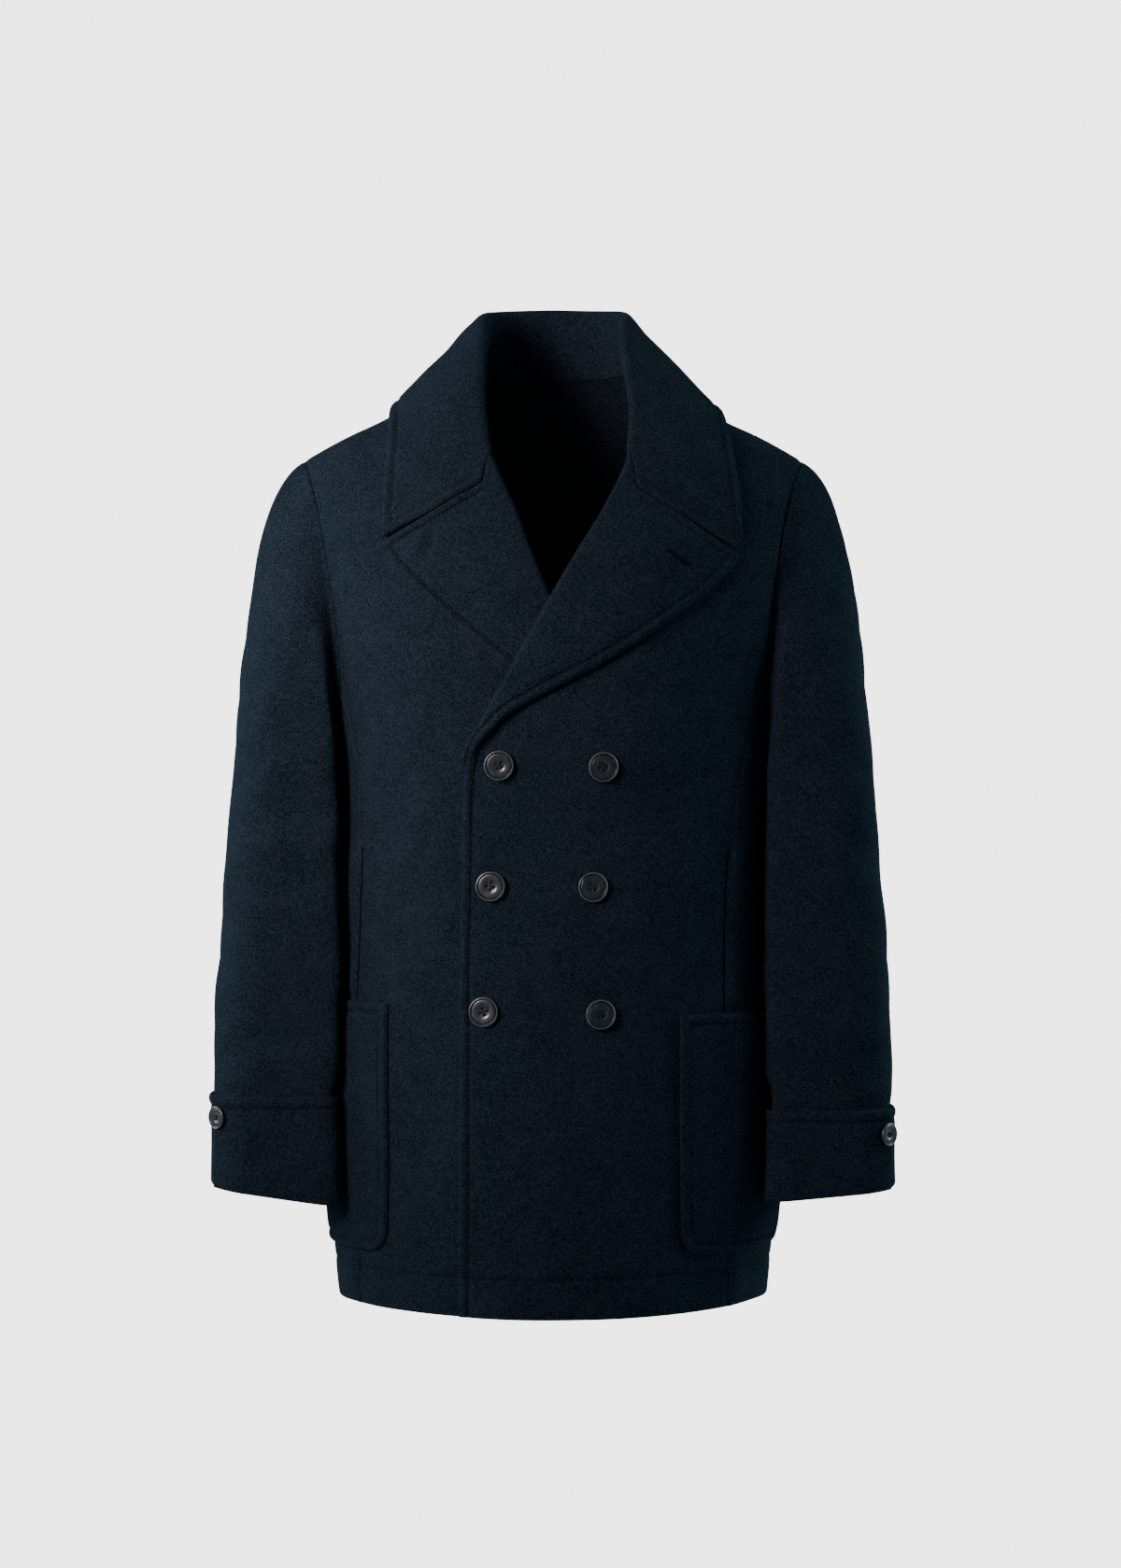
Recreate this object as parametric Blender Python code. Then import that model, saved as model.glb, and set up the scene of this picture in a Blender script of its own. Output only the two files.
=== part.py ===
"""Double-breasted pea coat of felted wool, filled out as worn and empty.

Metres, +Z up. The front faces -Y and +X is the wearer's left. The origin is at the middle of the
neck base, level with the neck ends of the shoulder seams. Each half of the coat is worked out in
its own side's X, which grows from the coat's middle towards its own arm, and is then mirrored.

Every piece is a cloth wall: a grid of points on one face, a second grid on the other face, and
rims between them. Neighbouring pieces share the points of their seam, each drawn back a little.
"""

import math
from dataclasses import dataclass

import bpy
import numpy as np

# Cloth and gaps
CLOTH = 0.0026
LAPEL_CLOTH = 0.0032
COLLAR_CLOTH = 0.0038
CUFF_CLOTH = 0.0032
SEAM_GAP = 0.0003
REST_GAP = 0.0008

# Heights
HEM = -0.790
ARMHOLE_CORNER = -0.279
ARMHOLE_DROP = 0.026
SLEEVE_RINGS = (-0.340, -0.390, -0.440, -0.500, -0.560, -0.596, -0.614, -0.650)
SLEEVE_END = -0.698

# Torso
SHOULDER_ROUNDING = 2.4
NECK_HALF_WIDTH = 0.076
BACK_NECK = -0.002
SHOULDER_END = 0.212
SECTION_SAMPLES = 240
SLOPE_STEP = 0.0001

# Grids
HEM_ROWS = (-0.790, -0.740, -0.690, -0.640, -0.590, -0.540, -0.490, -0.440, -0.390, -0.330, -0.305)
NECKLINE_ROWS = (-0.085, -0.050, -0.022, -0.0035, 0.002)
ROLL_ROWS = (-0.225, -0.175, -0.128)
SHOULDER_COLUMNS = 12
SIDE_COLUMNS = 8
BACK_NECK_COLUMNS = 4

# The left front laps over the right one, and over the right lapel higher up.
LAP_LIFT = 0.0034
LAP_LAPEL_LIFT = 0.0066
LAP_FADE = (0.062, 0.142)
LAP_TOP = (-0.172, -0.105)
LAP_LAPEL_FOOT = (-0.378, -0.334)

# Lapels, collar, sleeves
ROLL_RADIUS = 0.0014
ROLL_TURN = math.radians(172)
ROLL_SHARES = (0.0, 0.1, 0.2, 0.4, 0.6, 0.8, 1.0)
FALL_SHARES = (0.125, 0.25, 0.44, 0.63, 0.82, 1.0)
COLLAR_ROLL_RADIUS = 0.0022
COLLAR_TURNS = (45, 90, 135, 165)
SHORTEST_STAND = 0.0010
COLLAR_BULGE = 0.02
COLLAR_REST = 0.0032
LAPEL_REST = 0.0020
GORGE_GAP = 0.0004
COLLAR_PARTING = 0.0020
SLEEVE_SEAM_LENGTH = 0.006
SLEEVE_TURN_TOP = math.radians(-4)
SLEEVE_TURN_UNDERARM = math.radians(165)
SLEEVE_OUTER_POWER = 0.85
SLEEVE_INNER_POWER = 0.22
SLEEVE_SEAMS = (math.radians(130), math.radians(250))

# Patch pockets, hand-warmer welts and cuffs
POCKET_WIDTH = 0.155
POCKET_FOOT = -0.743
POCKET_CORNER = 0.022
WELT_WIDTH = 0.010
WELT_TOP = -0.408
WELT_CLOTH = 0.0018
CUFF_END_ANGLE = math.radians(37)
CUFF_LAP = math.radians(32)
CUFF_GAP = 0.0013

# Buttons
FRONT_BUTTON_RADIUS = 0.0125
CUFF_BUTTON_RADIUS = 0.0094
BUTTON_SIDES = 20
BUTTON_OFF_CLOTH = 0.0009


class Table:
    """Rows of named columns, read on a smooth curve through them by the first column."""

    def __init__(self, columns, *rows):
        values = np.array(sorted(rows), dtype=float).T
        self.keys = values[0]
        self.columns = dict(zip(columns.split(), values))

    def at(self, column, key):
        """Value of a column where the first column has the value key, with no overshoot."""
        keys, values = self.keys, self.columns[column]
        step = np.diff(keys)
        slope = np.diff(values) / step
        tangent = np.concatenate(([slope[0]], np.zeros(len(keys) - 2), [slope[-1]]))
        same_way = slope[:-1] * slope[1:] > 0
        both = slope[:-1] + slope[1:]
        tangent[1:-1][same_way] = (2 * slope[:-1] * slope[1:])[same_way] / both[same_way]
        key = np.clip(key, keys[0], keys[-1])
        i = np.clip(np.searchsorted(keys, key) - 1, 0, len(step) - 1)
        t = (key - keys[i]) / step[i]
        start = (1 + 2 * t) * (1 - t) ** 2 * values[i] + t * (1 - t) ** 2 * step[i] * tangent[i]
        end = t * t * (3 - 2 * t) * values[i + 1] - t * t * (1 - t) * step[i] * tangent[i + 1]
        return start + end


TORSO = Table(
    "height half_width front_depth back_depth squareness",
    (-0.790, 0.1815, 0.165, 0.140, 1.85),
    (-0.750, 0.1862, 0.163, 0.138, 1.88),
    (-0.720, 0.1900, 0.161, 0.136, 1.91),
    (-0.700, 0.1912, 0.160, 0.134, 1.94),
    (-0.600, 0.1860, 0.154, 0.128, 2.10),
    (-0.500, 0.1815, 0.150, 0.124, 2.25),
    (-0.400, 0.1808, 0.147, 0.125, 2.35),
    (-0.310, 0.1840, 0.144, 0.130, 2.35),
    (-0.232, 0.1950, 0.139, 0.134, 2.35),
    (-0.185, 0.2020, 0.134, 0.135, 2.35),
    (-0.139, 0.2120, 0.127, 0.132, 2.35),
    (-0.080, 0.2280, 0.113, 0.124, 2.35),
    (0.000, 0.2400, 0.098, 0.112, 2.35),
    (0.060, 0.2460, 0.088, 0.102, 2.35),
)
SHOULDER = Table(
    "across height",
    (0.000, 0.044),
    (0.076, 0.002),
    (0.110, -0.023),
    (0.143, -0.044),
    (0.178, -0.0605),
    (0.212, -0.0795),
    (0.240, -0.0970),
)
ARMHOLE = Table(
    "height front back",
    (-0.279, 0.1765, 0.1800),
    (-0.232, 0.1810, 0.1880),
    (-0.185, 0.1875, 0.1940),
    (-0.139, 0.1960, 0.2005),
    (-0.100, 0.2055, 0.2075),
    (-0.0795, 0.2120, 0.2120),
)
SIDE_BACK_SEAM = Table(
    "height x",
    (-0.790, 0.1600), (-0.530, 0.1560), (-0.405, 0.1580), (-0.360, 0.1620),
    (-0.315, 0.1700), (-0.279, 0.1800),
)
SLEEVE = Table(
    "height outer middle_y half_depth",
    (-0.698, 0.2842, -0.040, 0.0475),
    (-0.660, 0.2842, -0.037, 0.0485),
    (-0.632, 0.2846, -0.034, 0.0500),
    (-0.612, 0.2868, -0.032, 0.0520),
    (-0.560, 0.2865, -0.026, 0.0570),
    (-0.500, 0.2835, -0.018, 0.0625),
    (-0.440, 0.2800, -0.011, 0.0670),
    (-0.390, 0.2765, -0.007, 0.0700),
    (-0.340, 0.2725, -0.004, 0.0720),
)
# How far a sleeve hangs clear of the body, with room for the pocket and then for the cuff
SLEEVE_CLEARANCE = Table(
    "height gap",
    (-0.700, 0.0098),
    (-0.614, 0.0098),
    (-0.596, 0.0050),
    (-0.550, 0.0050),
    (-0.535, 0.0046),
    (-0.520, 0.0030),
    (-0.300, 0.0030),
)


@dataclass(frozen=True)
class Half:
    """What differs between the coat's two halves, in each one's own-side X."""

    name: str
    sign: int
    laps_over: bool
    front_edge: Table  # free front edge, then the lapel's roll line, then the front neckline
    lapel_edge: tuple  # (x, height) of the lapel's outer edge, one for each row from tip to foot
    notch: Table  # the lapel's top edge, from the roll line to the tip
    collar_end_share: float  # how far along the notch the collar's end reaches
    collar_edge: Table  # the collar fall's outer edge, by the station from the middle of the back
    collar_crest: Table  # the collar's fold, by the station from the middle of the back
    side_front_seam: Table
    pocket_from: float  # X of the patch pocket's inner edge
    pocket_top: float
    cuff_top: float
    cuff_foot_outer: float
    cuff_foot_inner: float
    cuff_button_height: float


LEFT = Half(
    name="left",
    sign=1,
    laps_over=True,
    front_edge=Table(
        "height x",
        (-0.790, -0.0765), (-0.526, -0.0760), (-0.390, -0.0735), (-0.345, -0.0715),
        (-0.330, -0.0650), (-0.305, -0.0510), (-0.279, -0.0375), (-0.225, -0.0093),
        (-0.175, 0.0192), (-0.128, 0.0470), (-0.085, 0.0660), (-0.050, 0.0720),
        (-0.022, 0.0745), (-0.0035, 0.0760), (0.002, 0.0760),
    ),
    lapel_edge=(
        (0.1552, -0.1680), (0.1290, -0.1955), (0.0900, -0.2255), (0.0450, -0.2555),
        (-0.0070, -0.2850), (-0.0340, -0.3030), (-0.0550, -0.3235),
    ),
    notch=Table(
        "share x height",
        (0.00, 0.0660, -0.0850), (0.25, 0.0675, -0.1080), (0.44, 0.0860, -0.1225),
        (0.63, 0.1075, -0.1365), (1.00, 0.1552, -0.1675),
    ),
    collar_end_share=0.975,
    collar_edge=Table(
        "station x height",
        (0, 0.0000, -0.0500), (1, 0.0430, -0.0495), (2, 0.0860, -0.0475),
        (3, 0.1240, -0.0425), (4, 0.1360, -0.0400), (5, 0.1435, -0.0520), (6, 0.1490, -0.0780),
        (7, 0.1545, -0.1180), (8, 0.1575, -0.1620),
    ),
    collar_crest=Table(
        "station x y height",
        (0, 0.000, 0.060, 0.0580), (1, 0.0230, 0.057, 0.0572), (2, 0.0420, 0.046, 0.0552),
        (3, 0.0545, 0.028, 0.0520), (4, 0.0585, 0.004, 0.0450), (5, 0.0562, -0.021, 0.0260),
        (6, 0.0600, -0.045, -0.0080), (7, 0.0640, -0.068, -0.0440), (8, 0.0570, -0.091, -0.0835),
    ),
    side_front_seam=Table(
        "height x",
        (-0.790, 0.1500), (-0.530, 0.1480), (-0.405, 0.1525), (-0.360, 0.1568),
        (-0.315, 0.1668), (-0.279, 0.1765),
    ),
    pocket_from=0.1035,
    pocket_top=-0.546,
    cuff_top=-0.628,
    cuff_foot_outer=-0.694,
    cuff_foot_inner=-0.703,
    cuff_button_height=-0.648,
)
RIGHT = Half(
    name="right",
    sign=-1,
    laps_over=False,
    front_edge=Table(
        "height x",
        (-0.790, -0.0620), (-0.390, -0.0620), (-0.345, -0.0600), (-0.330, -0.0560),
        (-0.305, -0.0430), (-0.279, -0.0290), (-0.225, -0.0042), (-0.175, 0.0173),
        (-0.128, 0.0356), (-0.085, 0.0540), (-0.050, 0.0645), (-0.022, 0.0725),
        (-0.0035, 0.0757), (0.002, 0.0760),
    ),
    lapel_edge=(
        (0.1442, -0.1590), (0.1190, -0.1885), (0.0840, -0.2215), (0.0450, -0.2545),
        (-0.0010, -0.2910), (-0.0260, -0.3090), (-0.0460, -0.3235),
    ),
    notch=Table(
        "share x height",
        (0.00, 0.0540, -0.0850), (0.25, 0.0570, -0.1060), (0.44, 0.0780, -0.1190),
        (0.63, 0.1000, -0.1325), (1.00, 0.1442, -0.1585),
    ),
    collar_end_share=0.955,
    collar_edge=Table(
        "station x height",
        (0, 0.0000, -0.0500), (1, 0.0430, -0.0495), (2, 0.0840, -0.0470),
        (3, 0.1205, -0.0410), (4, 0.1320, -0.0375), (5, 0.1360, -0.0500), (6, 0.1362, -0.0740),
        (7, 0.1390, -0.1060), (8, 0.1405, -0.1430),
    ),
    collar_crest=Table(
        "station x y height",
        (0, 0.000, 0.060, 0.0580), (1, 0.0230, 0.057, 0.0572), (2, 0.0415, 0.046, 0.0547),
        (3, 0.0535, 0.028, 0.0507), (4, 0.0572, 0.004, 0.0425), (5, 0.0545, -0.021, 0.0240),
        (6, 0.0565, -0.045, -0.0080), (7, 0.0560, -0.069, -0.0440), (8, 0.0485, -0.091, -0.0835),
    ),
    side_front_seam=Table(
        "height x",
        (-0.790, 0.1640), (-0.534, 0.1678), (-0.421, 0.1635), (-0.360, 0.1645),
        (-0.315, 0.1695), (-0.279, 0.1765),
    ),
    pocket_from=0.1355,
    pocket_top=-0.537,
    cuff_top=-0.617,
    cuff_foot_outer=-0.692,
    cuff_foot_inner=-0.706,
    cuff_button_height=-0.634,
)

# (name, x, height) of the front buttons: three rows, the working column first
FRONT_BUTTONS = (
    ("button_1_right", -0.0433, -0.3410),
    ("button_1_left", 0.0410, -0.3420),
    ("button_2_right", -0.0502, -0.4395),
    ("button_2_left", 0.0327, -0.4400),
    ("button_3_right", -0.0555, -0.5415),
    ("button_3_left", 0.0388, -0.5435),
)
# (radius, height) of a button turned about its middle, as shares of its radius
BUTTON_PROFILE = (
    (0.0, 0.0), (0.84, 0.0), (1.0, 0.08), (1.0, 0.21), (0.93, 0.29),
    (0.82, 0.29), (0.69, 0.20), (0.0, 0.18),
)


def lerp(start, end, share):
    """Point or value at a share of the way from start to end."""
    return start + (end - start) * share


def unit(vectors):
    """Vectors scaled to length one."""
    return vectors / np.linalg.norm(vectors, axis=-1, keepdims=True)


def ease(low, high, value):
    """0 below low, 1 above high, and a smooth step between them."""
    t = np.clip((value - low) / (high - low), 0.0, 1.0)
    return t * t * (3 - 2 * t)


def torso_depth(x, z, face):
    """Distance of the torso's surface from the plane y = 0, before ("front_depth") or behind it."""
    across = np.clip(np.abs(x) / TORSO.at("half_width", z), 0.0, 1.0)
    climb = (z - ARMHOLE_CORNER) / (SHOULDER.at("height", np.abs(x)) - ARMHOLE_CORNER)
    square = TORSO.at("squareness", z)
    section = (1 - across**square) ** (1 / square)
    rounding = (1 - np.clip(climb, 0.0, 1.0) ** SHOULDER_ROUNDING) ** (1 / SHOULDER_ROUNDING)
    return TORSO.at(face, z) * section * rounding


def lap_lift(half, x, z):
    """How far the left front stands off the torso's surface, over what it laps."""
    if not half.laps_over:
        return 0.0 * z
    under_front = LAP_LIFT + LAP_LAPEL_LIFT * ease(*LAP_LAPEL_FOOT, z)
    return under_front * (1 - ease(*LAP_TOP, z)) * (1 - ease(*LAP_FADE, x))


def front_surface(half, x, z):
    """Points on a front's outer face."""
    y = -torso_depth(x, z, "front_depth") - lap_lift(half, x, z)
    return np.stack(np.broadcast_arrays(x, y, z), axis=-1)


def torso_level(points):
    """1 on the torso's surface, more outside it and less inside."""
    x, y, z = np.moveaxis(points, -1, 0)
    across = np.clip(np.abs(x) / TORSO.at("half_width", z), 0.0, 0.99)
    depth = np.where(y < 0, TORSO.at("front_depth", z), TORSO.at("back_depth", z))
    square = TORSO.at("squareness", z)
    depth = depth * (1 - across**square) ** (1 / square)
    climb = (z - ARMHOLE_CORNER) / (SHOULDER.at("height", np.abs(x)) - ARMHOLE_CORNER)
    climb = np.maximum(climb, 0.0)
    power = SHOULDER_ROUNDING
    return ((np.abs(y) / depth) ** power + climb**power) ** (1 / power)


def rested(half, points, off, only_out=False):
    """Points moved square to the torso's surface, or to the lapped front, until off it by so much."""
    lift = np.zeros_like(points)
    lift[..., 1] = np.where(points[..., 1] < 0, lap_lift(half, points[..., 0], points[..., 2]), 0.0)
    points = points + lift
    for _ in range(4):
        steps = SLOPE_STEP * np.eye(3)
        slope = [torso_level(points + step) - torso_level(points - step) for step in steps]
        slope = np.stack(slope, axis=-1) / (2 * SLOPE_STEP)
        steep = np.linalg.norm(slope, axis=-1)
        move = off - (torso_level(points) - 1) / steep
        if only_out:
            move = np.maximum(move, 0.0)
        points = points + slope * (move / steep)[..., None]
    return points - lift


def climb_shares(count):
    """Shares of the way from the armhole's corner to the shoulder, closer together near the top."""
    return np.sin(np.linspace(0, math.pi / 2, count + 1)) ** (2 / SHOULDER_ROUNDING)


def front_grid(half):
    """Outer points of a front: rows from hem to shoulder, columns from its edge to the side."""
    across = np.linspace(0, 1, SHOULDER_COLUMNS + 1)
    rows = []
    for z in HEM_ROWS + (ARMHOLE_CORNER,):
        seam = half.side_front_seam.at("x", z)
        x = lerp(half.front_edge.at("x", z), seam, across)
        rows.append(front_surface(half, x, np.full_like(x, z)))
    edge_rows = ROLL_ROWS + NECKLINE_ROWS
    shares = climb_shares(len(edge_rows))[1:]
    top = SHOULDER.at("height", lerp(NECK_HALF_WIDTH, SHOULDER_END, across))
    for edge_z, share in zip(edge_rows, shares):
        edge_share = (edge_z - ARMHOLE_CORNER) / (NECKLINE_ROWS[-1] - ARMHOLE_CORNER)
        z = lerp(ARMHOLE_CORNER, top, lerp(edge_share, share, across))
        x = lerp(half.front_edge.at("x", edge_z), ARMHOLE.at("front", z[-1]), across)
        rows.append(front_surface(half, x, z))
    return np.array(rows)


def side_grid(half):
    """Outer points of a side panel: rows from hem to armhole, columns from front to back."""
    rows = []
    across = (1 - np.cos(np.linspace(0, math.pi, SIDE_COLUMNS + 1))) / 2
    top = ARMHOLE_CORNER - ARMHOLE_DROP * np.sin(np.linspace(0, math.pi, SIDE_COLUMNS + 1))
    for seam_z in HEM_ROWS + (ARMHOLE_CORNER,):
        z = lerp(HEM, top, (seam_z - HEM) / (ARMHOLE_CORNER - HEM))
        front = -torso_depth(half.side_front_seam.at("x", seam_z), seam_z, "front_depth")
        back = torso_depth(SIDE_BACK_SEAM.at("x", seam_z), seam_z, "back_depth")
        y = lerp(front, back, across)
        rows.append(np.stack((torso_width(y, z), y, z), axis=-1))
    return np.array(rows)


def torso_width(y, z):
    """X of the torso's side below the armhole, at a depth and height."""
    depth = np.where(y < 0, TORSO.at("front_depth", z), TORSO.at("back_depth", z))
    share = np.clip(np.abs(y) / depth, 0.0, 1.0)
    square = TORSO.at("squareness", z)
    return TORSO.at("half_width", z) * (1 - share**square) ** (1 / square)


def back_grid():
    """Outer points of the back's own half: rows from hem to neck, columns from its middle out."""
    neck_x = NECK_HALF_WIDTH * np.sin(np.linspace(0, math.pi / 2, BACK_NECK_COLUMNS + 1))
    shoulder_x = np.linspace(NECK_HALF_WIDTH, SHOULDER_END, SHOULDER_COLUMNS + 1)[1:]
    top_x = np.concatenate((neck_x, shoulder_x))
    neck_z = lerp(BACK_NECK, NECKLINE_ROWS[-1], (neck_x / NECK_HALF_WIDTH) ** 2)
    top_z = np.where(top_x > NECK_HALF_WIDTH, SHOULDER.at("height", top_x), 0.0)
    top_z[: len(neck_z)] = neck_z
    across = np.linspace(0, 1, len(top_x))
    rows = []
    for z in HEM_ROWS + (ARMHOLE_CORNER,):
        rows.append((SIDE_BACK_SEAM.at("x", z) * across, np.full_like(across, z)))
    low_x = rows[-1][0]
    for share in climb_shares(len(ROLL_ROWS) + len(NECKLINE_ROWS))[1:]:
        z = lerp(ARMHOLE_CORNER, top_z, share)
        x = lerp(low_x, top_x, share)
        x = x + across * (ARMHOLE.at("back", z[-1]) - x[-1])
        rows.append((x, z))
    return np.array([np.stack((x, torso_depth(x, z, "back_depth"), z), axis=-1) for x, z in rows])


def grid_normals(points, closed=False):
    """Normals at a grid's points, from the quads around each."""
    wrapped = np.concatenate((points, points[:, :1]), axis=1) if closed else points
    diagonals = wrapped[1:, 1:] - wrapped[:-1, :-1], wrapped[1:, :-1] - wrapped[:-1, 1:]
    faces = np.cross(*diagonals)
    total = np.zeros_like(wrapped)
    for i in (0, 1):
        for j in (0, 1):
            total[i : i + faces.shape[0], j : j + faces.shape[1]] += faces
    if closed:
        total[:, 0] += total[:, -1]
        total = total[:, :-1]
    return unit(total)


def shared_normals(grids):
    """Outward normals at the grids' points, the same wherever two grids share a point."""
    raw = [grid_face_sums(grid) for grid in grids]
    sums = {}
    for grid, vectors in zip(grids, raw):
        for point, vector in zip(grid.reshape(-1, 3), vectors.reshape(-1, 3)):
            key = tuple(np.round(point, 6))
            sums[key] = sums.get(key, 0) + vector
    return [
        unit(np.array([sums[tuple(np.round(p, 6))] for p in grid.reshape(-1, 3)])).reshape(grid.shape)
        for grid in grids
    ]


def grid_face_sums(points):
    """Sums of the outward area vectors of the quads around each point of a torso grid."""
    faces = np.cross(points[1:, 1:] - points[:-1, :-1], points[1:, :-1] - points[:-1, 1:])
    centres = (points[1:, 1:] + points[:-1, :-1] + points[1:, :-1] + points[:-1, 1:]) / 4
    inside = centres * (0.3, 0.3, 1.0)
    faces *= np.sign(np.sum(faces * (centres - inside), axis=-1, keepdims=True))
    total = np.zeros_like(points)
    for i in (0, 1):
        for j in (0, 1):
            total[i : i + faces.shape[0], j : j + faces.shape[1]] += faces
    return total


EDGES = {
    "first_row": (0, slice(None)),
    "last_row": (-1, slice(None)),
    "first_column": (slice(None), 0),
    "last_column": (slice(None), -1),
}
NEXT_IN = {
    "first_row": (1, slice(None)),
    "last_row": (-2, slice(None)),
    "first_column": (slice(None), 1),
    "last_column": (slice(None), -2),
}


class Wall:
    """One cloth wall: its outer and inner grids, in own-side X."""

    def __init__(self, outer, inner):
        self.outer = outer.copy()
        self.inner = inner.copy()

    def draw_back(self, edge, distance=SEAM_GAP / 2):
        """Draw one edge back from its seam, both faces alike, square to the seam."""
        border = self.outer[EDGES[edge]]
        inward = self.outer[NEXT_IN[edge]] - border
        along = unit(np.gradient(border, axis=0))
        through = self.inner[EDGES[edge]] - border
        through = unit(through - along * np.sum(through * along, axis=-1, keepdims=True))
        for axis in (along, through):
            inward = inward - axis * np.sum(inward * axis, axis=-1, keepdims=True)
        shift = unit(inward) * distance
        self.outer[EDGES[edge]] += shift
        self.inner[EDGES[edge]] += shift
        return self

    def mirrored_with(self, other):
        """One wall from this one, mirrored, and the other half, joined at their first rows' middle."""
        grids = []
        for mine, its in ((self.outer, other.outer), (self.inner, other.inner)):
            grids.append(np.concatenate(((mine * (-1, 1, 1))[::-1], its[1:])))
        return Wall(*grids)

    def make(self, name, sign, colour):
        """Blender object of the wall, in world X."""
        rows, columns = self.outer.shape[:2]
        points = np.concatenate((self.outer.reshape(-1, 3), self.inner.reshape(-1, 3)))
        points = points * (sign, 1, 1)
        behind = rows * columns

        def index(row, column):
            return row * columns + column

        faces = []
        for i in range(rows - 1):
            for j in range(columns - 1):
                quad = [index(i, j), index(i, j + 1), index(i + 1, j + 1), index(i + 1, j)]
                faces.append(quad)
                faces.append([behind + corner for corner in reversed(quad)])
        rim = []
        for j in range(columns - 1):
            rim.append((index(0, j + 1), index(0, j)))
            rim.append((index(rows - 1, j), index(rows - 1, j + 1)))
        for i in range(rows - 1):
            rim.append((index(i, 0), index(i + 1, 0)))
            rim.append((index(i + 1, columns - 1), index(i, columns - 1)))
        for start, end in rim:
            faces.append([start, end, behind + end, behind + start])
        return make_object(name, points, faces, colour)


def make_object(name, points, faces, colour, metallic=0.0, roughness=0.9):
    """Closed mesh object with its own material, faces pointing out."""
    fans = [(face[0], face[k], face[k + 1]) for face in faces for k in range(1, len(face) - 1)]
    corners = points[np.array(fans)] - points.mean(axis=0)
    if np.sum(corners[:, 0] * np.cross(corners[:, 1], corners[:, 2])) < 0:
        faces = [face[::-1] for face in faces]
    mesh = bpy.data.meshes.new(name)
    mesh.from_pydata([tuple(point) for point in points], [], faces)
    mesh.shade_smooth()
    mesh.set_sharp_from_angle(angle=math.radians(50))
    material = bpy.data.materials.new(name)
    material.use_nodes = True
    shader = material.node_tree.nodes["Principled BSDF"]
    shader.inputs["Base Color"].default_value = (*colour, 1.0)
    shader.inputs["Roughness"].default_value = roughness
    shader.inputs["Metallic"].default_value = metallic
    mesh.materials.append(material)
    item = bpy.data.objects.new(name, mesh)
    bpy.context.scene.collection.objects.link(item)
    return item


WOOL = (0.012, 0.018, 0.030)
HORN = (0.070, 0.062, 0.058)


class Seam:
    """Points on a seam with the body's normal there and the way out across it."""

    def __init__(self, points, normals, inside, closed):
        along = np.roll(points, -1, axis=0) - np.roll(points, 1, axis=0)
        if not closed:
            along = np.gradient(points, axis=0)
        self.points = points
        self.normals = unit(normals)
        out = unit(np.cross(along, self.normals))
        self.out = out * np.sign(np.sum(out * (points - inside), axis=-1, keepdims=True))

    def turned(self, radius, angle):
        """Points and normals after turning from the body's own way towards its outer side."""
        radius, angle = np.reshape(radius, (-1, 1)), np.reshape(angle, (-1, 1))
        start = self.points + self.out * SEAM_GAP / 2
        points = start + radius * (np.sin(angle) * self.out + (1 - np.cos(angle)) * self.normals)
        normals = np.cos(angle) * self.normals - np.sin(angle) * self.out
        return points, normals

    def heading(self, angle):
        """Direction of the cloth after such a turn."""
        angle = np.reshape(angle, (-1, 1))
        return np.cos(angle) * self.out + np.sin(angle) * self.normals


def torso_walls(half):
    """Front, side and back walls of one half, with the seams for its sleeve, lapel and collar."""
    grids = [front_grid(half), side_grid(half), back_grid()]
    normals = shared_normals(grids)
    normals[2][:, 0] *= (0, 1, 1)
    normals[2][:, 0] = unit(normals[2][:, 0])
    front, side, back = [Wall(g, g - n * CLOTH) for g, n in zip(grids, normals)]

    corner = len(HEM_ROWS)
    front_arm = slice(None, corner, -1)
    back_arm = slice(corner + 1, -1)
    armhole = Seam(
        np.concatenate((grids[0][front_arm, -1], grids[1][-1], grids[2][back_arm, -1])),
        np.concatenate((normals[0][front_arm, -1], normals[1][-1], normals[2][back_arm, -1])),
        np.concatenate((grids[0][front_arm, -2], grids[1][-2], grids[2][back_arm, -2])),
        closed=True,
    )
    gorge = len(grids[0]) - len(NECKLINE_ROWS)
    neck = slice(BACK_NECK_COLUMNS)
    down = slice(None, gorge - 1, -1)
    neckline = Seam(
        np.concatenate((grids[2][-1, neck], grids[0][down, 0])),
        np.concatenate((normals[2][-1, neck], normals[0][down, 0])),
        np.concatenate((grids[2][-2, neck], grids[0][down, 1])),
        closed=False,
    )
    roll_rows = slice(gorge, HEM_ROWS.index(-0.330) - 1, -1)
    roll = Seam(grids[0][roll_rows, 0], normals[0][roll_rows, 0], grids[0][roll_rows, 1], closed=False)

    front.draw_back("last_column").draw_back("last_row").draw_back("first_column")
    side.draw_back("first_column").draw_back("last_column").draw_back("last_row", SEAM_GAP)
    back.draw_back("last_column").draw_back("last_row")
    return front, side, back, armhole, neckline, roll


def sleeve_ring(z, angles, spread=0.0):
    """Points round a sleeve at a height: angle 0 is outermost, a quarter turn is the front.

    The outer half is an oval, and the inner half lies along the body's side, just clear of it.
    """
    z = np.broadcast_to(z, angles.shape)
    cosine, sine = np.cos(angles), np.sin(angles)
    y = SLEEVE.at("middle_y", z)
    y = y - (SLEEVE.at("half_depth", z) + spread) * np.sign(sine) * np.abs(sine) ** SLEEVE_OUTER_POWER
    gap = SLEEVE_CLEARANCE.at("gap", z)
    outer = SLEEVE.at("outer", z) + spread
    middle = (SLEEVE.at("outer", z) + TORSO.at("half_width", z) + gap) / 2
    inner = torso_width(y, z) + gap - spread
    away = middle + (outer - middle) * np.abs(cosine) ** SLEEVE_OUTER_POWER
    beside = middle - (middle - inner) * np.abs(cosine) ** SLEEVE_INNER_POWER
    return np.stack((np.where(cosine > 0, away, beside), y, z), axis=-1)


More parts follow.
